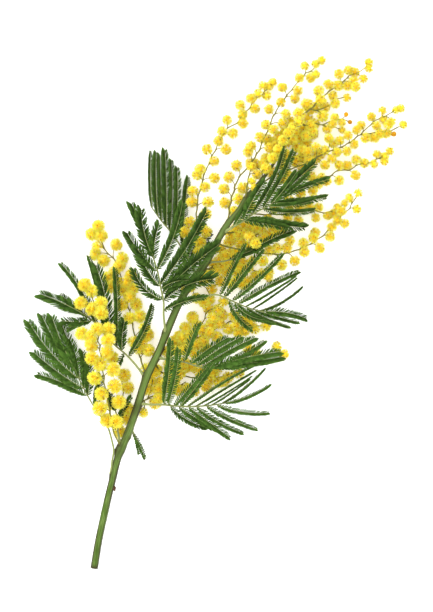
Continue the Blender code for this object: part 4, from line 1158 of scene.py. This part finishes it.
def rib_material(name, colour, node_colour):
    """Olive ribs and stalks that brown where they fork, with fine streaks along them."""
    material, tree, shader = plain_material(name, roughness=0.55, specular=0.2)
    bark_place = point_number(tree, "grain", "Vector")
    streaks = patches(
        tree, stretched(tree, bark_place, (1.6, 1.6, 160.0)), colour, darker(colour, 0.55),
        scale=2.0, threshold=0.52, softness=0.2, amount=0.8)
    browned = mix_colours(tree, point_number(tree, "browning"), streaks, node_colour)
    tree.links.new(browned, shader.inputs["Base Color"])
    add_relief(tree, shader, stretched(tree, bark_place, (3.0, 3.0, 500.0)), scale=2.0, strength=0.3)
    return material


def speck_group():
    """Node group: round specks of a colour, one to a cell, where a mask allows them."""
    group, start, end = node_group(
        "floret specks",
        (("Vector", "NodeSocketVector", None), ("Colour", "NodeSocketColor", (1.0, 0.8, 0.1, 1.0)),
         ("Speck Colour", "NodeSocketColor", (0.4, 0.2, 0.0, 1.0)), ("Scale", "NodeSocketFloat", 800.0),
         ("Size", "NodeSocketFloat", 0.3), ("Amount", "NodeSocketFloat", 1.0)),
        (("Colour", "NodeSocketColor"),))
    cells = group.nodes.new("ShaderNodeTexVoronoi")
    feed(group, start, cells, "Vector", "Scale")
    ramp = group.nodes.new("ShaderNodeMapRange")
    ramp.interpolation_type = "SMOOTHSTEP"
    group.links.new(cells.outputs["Distance"], ramp.inputs["Value"])
    group.links.new(start.outputs["Size"], ramp.inputs["From Min"])
    ramp.inputs["From Max"].default_value = 0.05
    mask = math_node(group, "MULTIPLY", ramp.outputs["Result"], start.outputs["Amount"], clamp=True)
    colour = mix_colours(group, mask, start.outputs["Colour"], start.outputs["Speck Colour"])
    group.links.new(colour, end.inputs["Colour"])
    return group


def stamen_material(settings):
    """Fluffy yellow: ochre painted shade deep in a head, bright along the stamens, pale at their tips, with a
    faint painted glow.
    """
    material, tree, shader = plain_material("stamens", roughness=0.85, specular=0.06)
    reach = point_number(tree, "reach")
    # The ramp by reach darkens towards a head's middle: its ochre heart is painted shade between the stamens.
    ramp = tree.nodes.new("ShaderNodeValToRGB")
    stops = ramp.color_ramp.elements
    stops.remove(stops[1])
    stops[0].position = FLORET_STOP
    stops[0].color = (*settings.floret, 1.0)
    for position, label in STAMEN_STOPS:
        stops.new(position).color = (*getattr(settings, label), 1.0)
    tree.links.new(reach, ramp.inputs["Fac"])
    toned = mix_colours(tree, point_number(tree, "shade"), ramp.outputs["Color"],
                        mix_colours(tree, 0.35, ramp.outputs["Color"], settings.heart))
    closed = math_node(tree, "SUBTRACT", 1.0, point_number(tree, "open"))
    inner = tree.nodes.new("ShaderNodeMapRange")
    for label, value in zip(("From Min", "From Max"), SPECKLED):
        inner.inputs[label].default_value = value
    tree.links.new(reach, inner.inputs["Value"])
    amount = math_node(tree, "ADD", closed, OPEN_SPECKS)
    amount = math_node(tree, "MULTIPLY", amount, inner.outputs["Result"])
    speckled = place_group(
        tree, "floret specks", speck_group, Vector=object_place(tree), Colour=toned,
        Speck_Colour=settings.floret, Scale=620.0, Size=0.42, Amount=amount)
    tree.links.new(speckled.outputs["Colour"], shader.inputs["Base Color"])
    add_relief(tree, shader, object_place(tree), scale=2600.0, strength=0.4)
    # Painted glow: the stamens shine a little with their own colour.
    shader.inputs["Emission Strength"].default_value = PAINTED_GLOW
    tree.links.new(speckled.outputs["Colour"], shader.inputs["Emission Color"])
    shader.inputs["Sheen Weight"].default_value = 0.1
    shader.inputs["Sheen Tint"].default_value = (1.0, 0.9, 0.4, 1.0)
    return material


def seated(points, radius):
    """Starts a route on the bark of the stem, a little inside it."""
    stem = route(STEM_ROUTE)
    index, share, middle = nearest_on(stem, points[0])[1:]
    size = (STEM_ROUTE[index][3] * (1 - share) + STEM_ROUTE[index + 1][3] * share) * MM
    outward = (points[0] - middle).normalized()
    depth = 0.0 if middle == stem[-1] else size - 0.5 * radius
    return [middle + outward * depth] + points[1:]


def attachments():
    """Where every leaf and spray leaves the stem, and how wide its foot is."""
    rib = bpy.context.scene.mimosa_leaf.rib_radius
    stalk = bpy.context.scene.mimosa_spray.stalk_radius
    feet = [(seated(route(leaf["rib"]), rib)[0], rib) for leaf in LEAVES.values()]
    feet += [(seated(route(spray["axis"]), stalk)[0], stalk) for spray in SPRAYS.values()]
    return feet


def shape_bark(shape, rings, middles, settings):
    """Raises ridges along the bark and a collar round each foot, browns both, and paints shade on the stem's
    sides.
    """
    grain = shape.verts.layers.float_vector["grain"]
    browning = shape.verts.layers.float["browning"]
    feet = attachments()
    for ring, middle in zip(rings, middles):
        for vert in ring:
            shape_bark_point(vert, middle, vert[grain], feet, browning, settings)


def bark_noise(angle, along, round_scale, along_scale):
    """Smooth noise on the bark, by how fast it changes round it and along it."""
    side = Vector((math.cos(angle) * round_scale, math.sin(angle) * round_scale, along * along_scale))
    return noise.noise(side)


def shape_bark_point(vert, middle, bark_place, feet, browning, settings):
    """Moves one point of the bark out to its ridge, wave and collar, browns it, and paints shade on it where
    it faces sideways.
    """
    along = bark_place.z
    angle = math.atan2(bark_place.y, bark_place.x)
    ridge = max(0.0, math.cos(RIDGES_ROUND * (angle + along * RIDGE_WINDING))) ** RIDGE_SHARPNESS
    wave = bark_noise(angle, along, *WAVE_GRAIN)
    raised = BARK_FULLNESS + settings.ridge_height * ridge + BARK_WAVE * wave
    stain_and_side_shade = RIDGE_BROWN * ridge * (0.5 + 0.5 * noise.noise(vert.co * 90.0))
    # Painted shade: bark that faces up less is darkened, as if in shade.
    edge = clamped((SIDE_FROM - abs((vert.co - middle).normalized().z)) / SIDE_OVER)
    stain_and_side_shade += SIDE_PAINTED_SHADE * edge * (0.8 + 0.7 * noise.noise(vert.co * 60.0))
    streak = bark_noise(angle, along, *STREAK_GRAIN)
    stain_and_side_shade += STREAK_BROWN * max(0.0, streak) * min(along / STREAKS_FULL, 1.0)
    stain_and_side_shade += CUT_BROWN * nearness(max(along - CUT_BEHIND, 0.0), CUT_FADE)
    for start, over, strength in BARK_BROWNS:
        stain_and_side_shade += strength * clamped((along - start) / over)
    for x, y, height, reach, strength in KNOTS:
        near = nearness((vert.co - place(x, y, height)).length, reach * MM)
        raised += strength * near
        stain_and_side_shade += KNOT_BROWN * near
    for foot, width in feet:
        distance = (vert.co - foot).length / width
        raised += COLLAR[0] * nearness(distance, COLLAR[1])
        stain_and_side_shade += COLLAR_BROWN[0] * nearness(distance, COLLAR_BROWN[1])
    vert.co = middle + (vert.co - middle) * (1.0 + raised)
    vert[browning] = min(stain_and_side_shade, 1.0)


def build_stem(settings):
    """The main stem: bark with ridges and collars, and its slanting cut end."""
    shape = new_shape("browning")
    points, radii = smooth_line(route(STEM_ROUTE), [row[3] * MM for row in STEM_ROUTE], settings.ring_step)
    rings = grow_rod(shape, points, radii, STEM_SIDES, open_start=True)
    shape_bark(shape, rings, points, settings)
    browning = shape.verts.layers.float["browning"]
    cut_at = points[0] + (points[1] - points[0]).normalized() * CUT_BEHIND
    geometry = shape.verts[:] + shape.edges[:] + shape.faces[:]
    cut = bmesh.ops.bisect_plane(
        shape, geom=geometry, plane_co=cut_at, plane_no=CUT_SLANT, clear_outer=True)
    rim = [item for item in cut["geom_cut"] if isinstance(item, bmesh.types.BMVert)]
    for vert in rim:
        vert[browning] = 1.0
    faces = close_loop(shape, rim)
    inner = bmesh.ops.inset_region(shape, faces=faces, thickness=CUT_RIM, depth=-0.25 * CUT_RIM)
    for face in faces:
        face.material_index = 1
    for face in inner["faces"]:
        face.material_index = 0
    piece = finish_piece(shape, "stem_bark", [bark_material(settings), cut_material(settings)],
                         nodes=["main_stem"])
    piece.data.set_sharp_from_angle(angle=math.radians(50))
    return piece


def build_bud(settings):
    """The dry bud: a pointed heart in a spiral of small brown scales."""
    shape = new_shape("tip")
    bmesh.ops.create_uvsphere(
        shape, u_segments=12, v_segments=8, radius=BUD_RADIUS * BUD_HEART,
        matrix=Matrix.Diagonal((*BUD_STRETCH, 1.0)))
    shape = packed_again(shape)
    scale = leaflet_template()
    size = Matrix.Diagonal((*BUD_SCALE_SIZE, 1.0))
    # The scales wind up from the bud's foot, and their ring is widest below its middle.
    for number in range(BUD_SCALES):
        around = number * GOLDEN_ANGLE
        share = number / (BUD_SCALES - 1)
        ring = BUD_RADIUS * 0.75 * math.sin(math.pi * (0.35 + 0.55 * share))
        ahead = BUD_RADIUS * (1.9 * share - 1.2)
        foot = Vector((ring * math.cos(around) * 0.9, ahead, ring * math.sin(around)))
        tilt = Matrix.Rotation(-around, 4, "Y") @ Matrix.Rotation(BUD_SCALE_LEAN, 4, "Z")
        add_copy(shape, scale, Matrix.Translation(foot) @ tilt @ size)
    bpy.data.meshes.remove(scale)
    spot = Matrix.Translation(place(*BUD_PLACE) + BUD_SEAT)
    bmesh.ops.transform(shape, matrix=spot @ Matrix.Rotation(BUD_TURN, 4, "Z"), verts=shape.verts)
    return finish_piece(shape, "stem_bud_scales", [bud_material(settings)], nodes=["stem_bud"])


def leaflet_template():
    """A leaflet one unit long: a narrow blade folded along its middle, closed all round."""
    shape = bmesh.new()
    tip = shape.verts.layers.float.new("tip")
    ring = bmesh.ops.create_circle(shape, segments=6, radius=0.5, cap_ends=True)["verts"]
    bmesh.ops.rotate(shape, verts=ring, matrix=Matrix.Rotation(math.radians(90), 3, "Z"))
    ends = sorted(ring, key=lambda vert: vert.co.x)
    bmesh.ops.connect_verts(shape, verts=[ends[0], ends[-1]])
    for vert in ring:
        if vert in (ends[0], ends[-1]):
            vert.co.x += 0.5
            vert.co.y = 0.0
        else:
            along, half = BLADE_FRONT if vert.co.x > 0.0 else BLADE_FOOT
            vert.co = Vector((along, math.copysign(half, vert.co.y), BLADE_FOLD))
    under = bmesh.ops.extrude_face_region(shape, geom=shape.faces[:])["geom"]
    for item in under:
        if isinstance(item, bmesh.types.BMVert):
            item.co.z -= 1.0
    bmesh.ops.recalc_face_normals(shape, faces=shape.faces)
    # The tip number makes a leaflet paler towards its tip, and paler along one long edge, a painted highlight
    # where the next leaflet doesn't cover it.
    for vert in shape.verts:
        edge = max(0.0, vert.co.y / BLADE_FOOT[1])
        front = max(0.0, (vert.co.x - 0.45) / 0.55)
        vert[tip] = 0.5 * edge * vert.co.x + 0.45 * front
    return as_template(shape, "leaflet")


def strip_line(base, tip, bow, turn):
    """Points from base to tip on a line that bows to the left, turned about its own length."""
    step = tip - base
    side = Vector((-step.y, step.x, 0.0)) * bow
    count = max(6, int(step.length / STRIP_STEP))
    points = []
    for index in range(count + 1):
        share = index / count
        arch = 4.0 * share * (1.0 - share)
        points.append(base + step * share + side * arch + UP * STRIP_ARCH * MM * arch)
    roll = Matrix.Rotation(math.radians(turn), 3, step)
    return [base + roll @ (point - base) for point in points] if turn else points


def strip_frames(points, count, last_share, turn):
    """Even places along a side strip: share, point, forward, left and up, turned about the strip."""
    spans = [(end - start).length for start, end in zip(points, points[1:])]
    frames = []
    for number in range(count):
        share = (number + 0.7) / (count - 0.3) * last_share
        walked = share * sum(spans)
        index = 0
        while index < len(spans) - 1 and walked > spans[index]:
            walked -= spans[index]
            index += 1
        forward = (points[index + 1] - points[index]).normalized()
        roll = Matrix.Rotation(math.radians(turn), 3, forward)
        left = roll @ UP.cross(forward).normalized()
        root = points[index].lerp(points[index + 1], walked / spans[index])
        frames.append((number / (count - 1), root, forward, left, forward.cross(left)))
    return frames


def add_leaflets(shape, template, points, width, turn, comb_side, openness, tone, settings, draw):
    """Sets two rows of leaflets along a side strip: one lies closed, one stands open as a comb."""
    shade = shape.verts.layers.float["shade"]
    own = tone + draw.uniform(-STRIP_SHADE_STRAY, STRIP_SHADE_STRAY)
    total = sum((end - start).length for start, end in zip(points, points[1:]))
    count = max(4, int(total / settings.leaflet_pitch))
    last_share = 1.0 - 0.42 * width / total
    for share, root, forward, left, rise in strip_frames(points, count, last_share, turn):
        # The first leaflets are shorter, and the last ones round off the strip's tip.
        swell = min(1.0, 0.55 + share * 3.0) * (1.0 - 0.42 * max(0.0, (share - 0.8) / 0.2) ** 2)
        for side in (-1.0, 1.0):
            spread = openness if side == comb_side else 0.0
            stray = between((CLOSED_STRAY, 1.0), spread)
            lean = between(FOOT_LEAN, spread) * (1.0 - share) + between(TIP_LEAN, spread) * share
            length = 0.5 * width / math.sin(math.radians(between(LENGTH_LEAN, spread))) * swell
            fold = math.radians(between(FOLD, spread) + draw.uniform(-FOLD_STRAY, FOLD_STRAY) * stray)
            across = left * side * math.cos(fold) + rise * math.sin(fold)
            tilt = math.radians(lean) + math.radians(draw.uniform(-LEAN_STRAY, LEAN_STRAY) * stray)
            along = forward * math.cos(tilt) + across * math.sin(tilt)
            top = (forward.cross(across) * side).normalized()
            blade = math.radians(side * (BLADE_TURN + draw.uniform(-BLADE_STRAY, BLADE_STRAY)))
            top = Matrix.Rotation(blade, 3, along) @ top
            ahead = top.cross(along) * side
            size = length * (1.0 - draw.uniform(*LENGTH_LOSS) * stray)
            broad = settings.closed_width * (1.0 - spread) + settings.open_width * spread
            matrix = Matrix((
                (*(along * size), 0.0), (*(ahead * broad), 0.0),
                (*(top * settings.leaflet_thickness), 0.0), (*root, 1.0))).transposed()
            light = clamped(own + draw.uniform(-SHADE_STRAY, SHADE_STRAY))
            add_copy(shape, template, matrix, ((shade, light),))


def merge_into(shape, part, material_index):
    """Moves a finished bmesh into another, with all its faces in one material slot."""
    for face in part.faces:
        face.material_index = material_index
    mesh = as_template(part, "part")
    shape.from_mesh(mesh)
    bpy.data.meshes.remove(mesh)


def brown_feet(shape, places, reach, strength):
    """Browns the rods near the given places, where they fork."""
    browning = shape.verts.layers.float["browning"]
    for vert in shape.verts:
        nearest = min((vert.co - spot).length for spot in places)
        vert[browning] = strength * nearness(nearest, reach)


def grow_midrib(shape, leaf, settings):
    """The midrib of a leaf, from its swollen foot on the stem to its thin end; gives its points."""
    rib = seated(route(leaf["rib"]), settings.rib_radius)
    widths = taper(len(rib), settings.rib_radius, settings.rib_radius * 0.5)
    points, radii = smooth_line(rib, widths, RIB_STEP)
    for index, swell in enumerate(RIB_FOOT):
        radii[index] *= swell
    radii[-1] *= RIB_END
    grow_rod(shape, points, radii, RIB_SIDES)
    return points


def build_leaf(name, leaf, settings, materials, template, seed):
    """A feathery leaf: midrib, side ribs, and two rows of leaflets on each side rib."""
    draw = random.Random(seed)
    ribs = new_shape("browning")
    points = grow_midrib(ribs, leaf, settings)
    whole = new_shape("browning", "shade", "tip")
    feathers = new_shape("browning", "shade", "tip")
    forks = [points[0]]
    for number, (base_x, base_y, tip_x, tip_y, tip_height, bow, width, turn) in enumerate(leaf["strips"]):
        index, share = nearest_in_plan(points, place(base_x, base_y, 0.0))[1:]
        base = points[index].lerp(points[index + 1], share)
        forks.append(base)
        tip = place(tip_x, tip_y, tip_height)
        line = strip_line(base, tip, bow, turn)
        thin = settings.strip_rib_radius
        grow_rod(ribs, line, taper(len(line), thin, thin * 0.35), STRIP_SIDES)
        feather = new_shape("browning", "shade", "tip")
        comb_side = COMB_SIDES.get((name, number), COMB_SIDES[name])
        openness = draw.uniform(*OPENNESS)
        reach = width * GRID_STEP * LEAF_SPREADS.get(name, COMMON_SPREAD)
        add_leaflets(
            feather, template, line, reach, turn, comb_side, openness, LEAF_TONES[name], settings, draw)
        merge_into(feathers, feather, 1)
    brown_feet(ribs, forks, *RIB_BROWN)
    merge_into(whole, ribs, 0)
    merge_into(whole, feathers, 1)
    return finish_piece(whole, name + "_feathers", materials, smooth=False, nodes=[name])


def stamen_template():
    """A stamen one unit long and one unit wide, from its pointed foot to its broad tip."""
    shape = bmesh.new()
    made = bmesh.ops.create_cone(
        shape, cap_ends=True, segments=3, radius1=0.3, radius2=0.5, depth=1.0)["verts"]
    bmesh.ops.translate(shape, verts=made, vec=(0.0, 0.0, 0.5))
    foot = [vert for vert in made if vert.co.z < 0.1]
    bmesh.ops.pointmerge(shape, verts=foot, merge_co=(0.0, 0.0, 0.0))
    return as_template(shape, "stamen")


def even_directions(count, jitter, draw):
    """Directions spread evenly over a ball, each a little off its place."""
    directions = []
    for index in range(count):
        height = 1.0 - (2.0 * index + 1.0) / count
        ring = math.sqrt(1.0 - height * height)
        around = index * GOLDEN_ANGLE
        way = Vector((ring * math.cos(around), ring * math.sin(around), height))
        way += Vector((draw.gauss(0.0, jitter), draw.gauss(0.0, jitter), draw.gauss(0.0, jitter)))
        directions.append(way.normalized())
    return directions


def add_stamen(shape, stamen, root, tip, width):
    """Adds one stamen from its root to its tip, and gives back its points."""
    step = tip - root
    turn = step.to_track_quat("Z", "Y").to_matrix().to_4x4()
    size = Matrix.Diagonal((width, width, step.length, 1.0))
    return add_copy(shape, stamen, Matrix.Translation(root) @ turn @ size)


def head_template(stamen, seed, kind):
    """A flower head of radius one: a heart, tufts of stamens, and some florets still closed."""
    draw = random.Random(seed)
    heart = kind["heart"]
    spread = kind["spread"]
    shape = bmesh.new()
    reach = shape.verts.layers.float.new("reach")
    for vert in bmesh.ops.create_icosphere(shape, subdivisions=2, radius=heart)["verts"]:
        vert[reach] = heart
    ways = even_directions(kind["tufts"], TUFT_STRAY, draw)
    for way in draw.sample(ways, kind["closed"]):
        spot = Matrix.Translation(way * draw.uniform(*KNOB_SEAT))
        size = draw.uniform(*KNOB_SIZE)
        knob = bmesh.ops.create_icosphere(shape, subdivisions=1, radius=size, matrix=spot)["verts"]
        for vert in knob:
            vert[reach] = 0.0
    shape = packed_again(shape)
    reach = shape.verts.layers.float["reach"]
    for way in ways:
        for number in range(kind["each"]):
            aim = way + Vector((draw.gauss(0.0, spread), draw.gauss(0.0, spread), draw.gauss(0.0, spread)))
            tip = aim.normalized() * draw.uniform(*STAMEN_REACH)
            tone = draw.uniform(*STAMEN_TONES)
            for vert in add_stamen(shape, stamen, way * heart * STAMEN_FOOT, tip, kind["width"]):
                vert[reach] = vert.co.length * tone
    return as_template(shape, "head")


def closed_head_template(seed):
    """A head still in bud: a ball of small round florets."""
    draw = random.Random(seed)
    shape = bmesh.new()
    reach = shape.verts.layers.float.new("reach")
    bmesh.ops.create_icosphere(shape, subdivisions=2, radius=CLOSED_BALL)
    for way in even_directions(CLOSED_FLORETS, FLORET_STRAY, draw):
        size = draw.uniform(*FLORET_SIZE)
        spot = Matrix.Translation(way * FLORET_SEAT)
        bmesh.ops.create_icosphere(shape, subdivisions=1, radius=size, matrix=spot)
    for vert in shape.verts:
        vert[reach] = 0.18 + 0.16 * vert.co.length
    return as_template(shape, "closed head")


def head_templates(stamen):
    """The kinds of head: large fluffy ones, common open ones, opening ones and closed ones."""
    templates = {name: [head_template(stamen, kind["seed"] + k, kind) for k in range(kind["count"])]
                 for name, kind in HEAD_KINDS.items()}
    templates["closed"] = [closed_head_template(CLOSED_SEED + k) for k in range(CLOSED_COUNT)]
    return templates


def walk_back(points, index, share, distance):
    """The place a distance back along a route: the point, and the heading there."""
    here = points[index].lerp(points[index + 1], share)
    while distance > 0.0:
        reach = (here - points[index]).length
        if reach >= distance:
            here = here.lerp(points[index], distance / reach)
            break
        if index == 0:
            here = points[0].lerp(points[1], 0.15)
            break
        distance -= reach
        here = points[index]
        index -= 1
    return here, (points[index + 1] - points[index]).normalized()


def side_stalk(shape, root, heading, centre, width):
    """The short bent stalk of one head, from the spray's stalk into the head."""
    reach = (centre - root).length
    ahead, aside = SIDE_STALK_BEND
    elbow = root + heading * reach * ahead + (centre - root) * aside
    last = len(SIDE_STALK_SIZES) - 1
    points = []
    for index in range(last + 1):
        share = index / last
        points.append(root.lerp(elbow, share).lerp(elbow.lerp(centre, share), share))
    grow_rod(shape, points, [width * size for size in SIDE_STALK_SIZES], SIDE_STALK_SIDES)


def head_spots(spray, crowd, lines, settings):
    """Where every head of a spray stands."""
    spots = []
    for number, head in enumerate(spray["heads"] + crowd):
        target = place(head[0], head[1], 0.0)
        line, (distance, index, share) = min(
            ((points, nearest_in_plan(points, target)) for points in lines), key=lambda found: found[1][0])
        along = (index + share) / (len(line) - 1)
        radius = settings.head_width / 2 * between(spray["width"], along)
        if head in crowd:
            radius *= CROWD_SIZE
        lift = HEAD_LIFTS[number % len(HEAD_LIFTS)] * MM
        height = line[index].lerp(line[index + 1], share).z + lift
        if len(head) > 2:
            height = head[2] * MM
        centre = Vector((target.x, target.y, max(height, radius * 1.04)))
        root, heading = walk_back(line, index, share, distance * SIDE_STALK_LEAN)
        spots.append(Spot(centre, radius, root, heading, along))
    return spots


def zigzag(points, spots):
    """Kinks a stalk towards each head that it carries."""
    kinked = []
    for point in points:
        moved = point.copy()
        for spot in spots:
            side = spot.centre - spot.root
            side -= spot.heading * side.dot(spot.heading)
            if side.length > 0.0:
                moved += side.normalized() * KINK * nearness((point - spot.root).length, KINK_REACH)
        kinked.append(moved)
    return kinked


def head_kind(name, number, radius, along, settings):
    """What kind of head stands at a place, and its size as a share of the common one."""
    if number in CLOSED_HEADS.get(name, ()):
        return "closed", CLOSED_SIZE
    if number in OPENING_HEADS.get(name, ()):
        return "opening", YOUNG_SIZE
    if radius > FLUFFY_FROM * settings.head_width:
        return "fluffy", 1.0
    if along > OPENING_FROM:
        return "opening", OPENING_SIZE
    return "open", 1.0


def round_normals(piece, outward, share):
    """Turns the normals of the fluff towards the outside of its head, which softens its shading."""
    own = piece.data.vertex_normals
    normals = [(way * share + own[index].vector * (1.0 - share)).normalized()
               for index, way in enumerate(outward)]
    piece.data.normals_split_custom_set_from_vertices(normals)


def build_stalks(name, lines, spots, settings, material):
    """The stalks of a spray: its own, its branches, and a side stalk for each head."""
    shape = new_shape("browning")
    forks = [spot.root for spot in spots]
    runs = []
    for line in lines:
        size = settings.stalk_radius if line is lines[0] else settings.stalk_radius * BRANCH_SHARE
        widths = taper(len(line), size, settings.stalk_radius * STALK_END)
        points, radii = smooth_line(line, widths, STALK_STEP)
        if line is lines[0]:
            for index, swell in enumerate(STALK_FOOT):
                radii[index] *= swell
        else:
            points[0] = nearest_on(runs[0], points[0])[3]
        points = points[:1] + zigzag(points[1:], spots)
        runs.append(points)
        for index, point in enumerate(points):
            nearest = min((point - fork).length for fork in forks)
            radii[index] *= 1.0 + FORK_SWELL * nearness(nearest, FORK_REACH)
        grow_rod(shape, points, radii, STALK_SIDES)
    for spot in spots:
        foot = min((nearest_on(points, spot.root)[3] for points in runs),
                   key=lambda found: (found - spot.root).length)
        side_stalk(shape, foot, spot.heading, spot.centre, settings.side_stalk_radius)
    brown_feet(shape, forks + [lines[0][0]], *STALK_BROWN)
    return finish_piece(shape, name + "_stalks", [material], nodes=[name])


def build_heads(name, spots, settings, material, templates, seed):
    """The heads of a spray: copies of the kinds of head, each turned and squashed its own way."""
    draw = random.Random(seed)
    shape = bmesh.new()
    layers = {label: shape.verts.layers.float.new(label) for label in ("reach", "shade", "open")}
    outward = []
    for number, spot in enumerate(spots):
        kind, share = head_kind(name, number, spot.radius, spot.along, settings)
        size = spot.radius * share
        angle = draw.uniform(0.0, math.tau)
        turn = Matrix.Rotation(angle, 4, Vector((draw.gauss(0, 1), draw.gauss(0, 1), 1.0)))
        squash = Matrix.Diagonal((size * draw.uniform(*HEAD_GIRTHS), size * draw.uniform(*HEAD_GIRTHS),
                                  size * draw.uniform(*HEAD_DEPTHS), 1.0))
        values = ((layers["shade"], draw.random()), (layers["open"], 0.0 if kind == "closed" else 1.0))
        template = draw.choice(templates[kind])
        fresh = add_copy(shape, template, Matrix.Translation(spot.centre) @ turn @ squash, values)
        outward += [(vert.co - spot.centre).normalized() for vert in fresh]
    piece = finish_piece(shape, name + "_heads", [material], nodes=[name])
    round_normals(piece, outward, NORMAL_SHARE)
    return piece


def build_spray(name, spray, settings, materials, templates, seed):
    """A spray: one piece for its stalks and one for its fluffy heads."""
    axis = seated(route(spray["axis"]), settings.stalk_radius)
    lines = [axis] + [route(branch) for branch in spray.get("branches", ())]
    spots = head_spots(spray, CROWD.get(name, ()), lines, settings)
    build_stalks(name, lines, spots, settings, materials[0])
    build_heads(name, spots, settings, materials[1], templates, seed)


class MIMOSA_OT_stem(bpy.types.Operator):
    """Build the main stem with its ridged bark and its cut end"""

    bl_idname = "mimosa.stem"
    bl_label = "Main stem"

    def execute(self, context):
        build_stem(context.scene.mimosa_stem)
        return {"FINISHED"}


class MIMOSA_OT_stem_bud(bpy.types.Operator):
    """Build the small dry bud on the side of the stem"""

    bl_idname = "mimosa.stem_bud"
    bl_label = "Stem bud"

    def execute(self, context):
        build_bud(context.scene.mimosa_stem)
        return {"FINISHED"}


class MIMOSA_OT_leaves(bpy.types.Operator):
    """Build every feathery leaf with its ribs and leaflets"""

    bl_idname = "mimosa.leaves"
    bl_label = "Feathery leaves"

    def execute(self, context):
        settings = context.scene.mimosa_leaf
        materials = [rib_material("leaf ribs", settings.rib, context.scene.mimosa_stem.ridge),
                     leaflet_material(settings)]
        template = leaflet_template()
        for seed, (name, leaf) in enumerate(LEAVES.items(), LEAF_SEED):
            build_leaf(name, leaf, settings, materials, template, seed)
        bpy.data.meshes.remove(template)
        return {"FINISHED"}


class MIMOSA_OT_sprays(bpy.types.Operator):
    """Build every flower spray with its stalks and fluffy heads"""

    bl_idname = "mimosa.sprays"
    bl_label = "Flower sprays"

    def execute(self, context):
        settings = context.scene.mimosa_spray
        materials = [rib_material("spray stalks", settings.stalk, settings.stalk_node),
                     stamen_material(settings)]
        stamen = stamen_template()
        templates = head_templates(stamen)
        for seed, (name, spray) in enumerate(SPRAYS.items(), SPRAY_SEED):
            build_spray(name, spray, settings, materials, templates, seed)
        for mesh in [stamen] + [mesh for kind in templates.values() for mesh in kind]:
            bpy.data.meshes.remove(mesh)
        return {"FINISHED"}


class MIMOSA_OT_stage(bpy.types.Operator):
    """Set up the pale floor, the soft light and the camera"""

    bl_idname = "mimosa.stage"
    bl_label = "Stage"

    def execute(self, context):
        settings = context.scene.mimosa_stage
        build_floor(settings)
        build_lights(settings)
        build_camera(settings)
        return {"FINISHED"}


def build_floor(settings):
    """A wide pale floor just under the sprig, softly lit from within."""
    shape = bmesh.new()
    bmesh.ops.create_grid(shape, x_segments=1, y_segments=1, size=FLOOR_SIZE / 2)
    mesh = bpy.data.meshes.new("floor")
    shape.to_mesh(mesh)
    shape.free()
    material, tree, shader = plain_material("pale floor", roughness=0.9, specular=0.1)
    shader.inputs["Base Color"].default_value = (FLOOR_GREY, FLOOR_GREY, FLOOR_GREY, 1.0)
    shader.inputs["Emission Color"].default_value = WHITE
    shader.inputs["Emission Strength"].default_value = settings.floor_glow
    mesh.materials.append(material)
    floor = bpy.data.objects.new("floor", mesh)
    bpy.context.scene.collection.objects.link(floor)


def build_lights(settings):
    """Even light from all round and one large soft light from the upper left."""
    scene = bpy.context.scene
    world = bpy.data.worlds.new("room light")
    world.use_nodes = True
    background = world.node_tree.nodes["Background"]
    background.inputs["Color"].default_value = WHITE
    background.inputs["Strength"].default_value = settings.sky
    scene.world = world
    lamp = bpy.data.lights.new("key light", "AREA")
    lamp.shape = "SQUARE"
    lamp.size = KEY_SIZE
    lamp.energy = settings.key_power
    key = bpy.data.objects.new("key light", lamp)
    key.location = KEY_PLACE
    key.rotation_euler = (-key.location).to_track_quat("-Z", "Y").to_euler()
    key.visible_camera = False
    scene.collection.objects.link(key)
    scene.view_settings.view_transform = "Standard"


def build_camera(settings):
    """A long lens that looks straight down on the sprig, framed as the photograph is."""
    middle = (CAD_BOX[0].z + CAD_BOX[1].z) / 2
    data = bpy.data.cameras.new("camera")
    data.sensor_width = SENSOR
    data.lens = SENSOR * (settings.camera_height - middle) / (PICTURE_LONG_SIDE * GRID_STEP)
    camera = bpy.data.objects.new("camera", data)
    camera.location = place(PICTURE_MIDDLE_X, PICTURE_MIDDLE_Y, settings.camera_height / MM)
    bpy.context.scene.collection.objects.link(camera)
    bpy.context.scene.camera = camera


class MIMOSA_PT_panel(bpy.types.Panel):
    """The sprig's steps, in the 3D view's sidebar"""

    bl_idname = "MIMOSA_PT_panel"
    bl_label = "Mimosa sprig"
    bl_space_type = "VIEW_3D"
    bl_region_type = "UI"
    bl_category = "Mimosa"

    def draw(self, context):
        for operator in OPERATORS:
            self.layout.operator(operator.bl_idname)
        for holder in SETTINGS:
            box = self.layout.box()
            settings = getattr(context.scene, holder)
            for label in settings.__annotations__:
                box.prop(settings, label)


SETTINGS = {
    "mimosa_stem": MimosaStemSettings, "mimosa_leaf": MimosaLeafSettings,
    "mimosa_spray": MimosaSpraySettings, "mimosa_stage": MimosaStageSettings,
}
OPERATORS = (MIMOSA_OT_stage, MIMOSA_OT_stem, MIMOSA_OT_stem_bud, MIMOSA_OT_leaves, MIMOSA_OT_sprays)


def register():
    """Adds the classes and the scene's settings."""
    for holder, kind in SETTINGS.items():
        bpy.utils.register_class(kind)
        setattr(bpy.types.Scene, holder, bpy.props.PointerProperty(type=kind))
    for kind in (*OPERATORS, MIMOSA_PT_panel):
        bpy.utils.register_class(kind)


def unregister():
    """Takes the classes and the settings away again."""
    for kind in reversed((*OPERATORS, MIMOSA_PT_panel)):
        bpy.utils.unregister_class(kind)
    for holder, kind in SETTINGS.items():
        delattr(bpy.types.Scene, holder)
        bpy.utils.unregister_class(kind)


def main():
    """Builds every piece in order."""
    register()
    for operator in OPERATORS:
        group, action = operator.bl_idname.split(".")
        getattr(getattr(bpy.ops, group), action)()


if __name__ == "__main__":
    main()
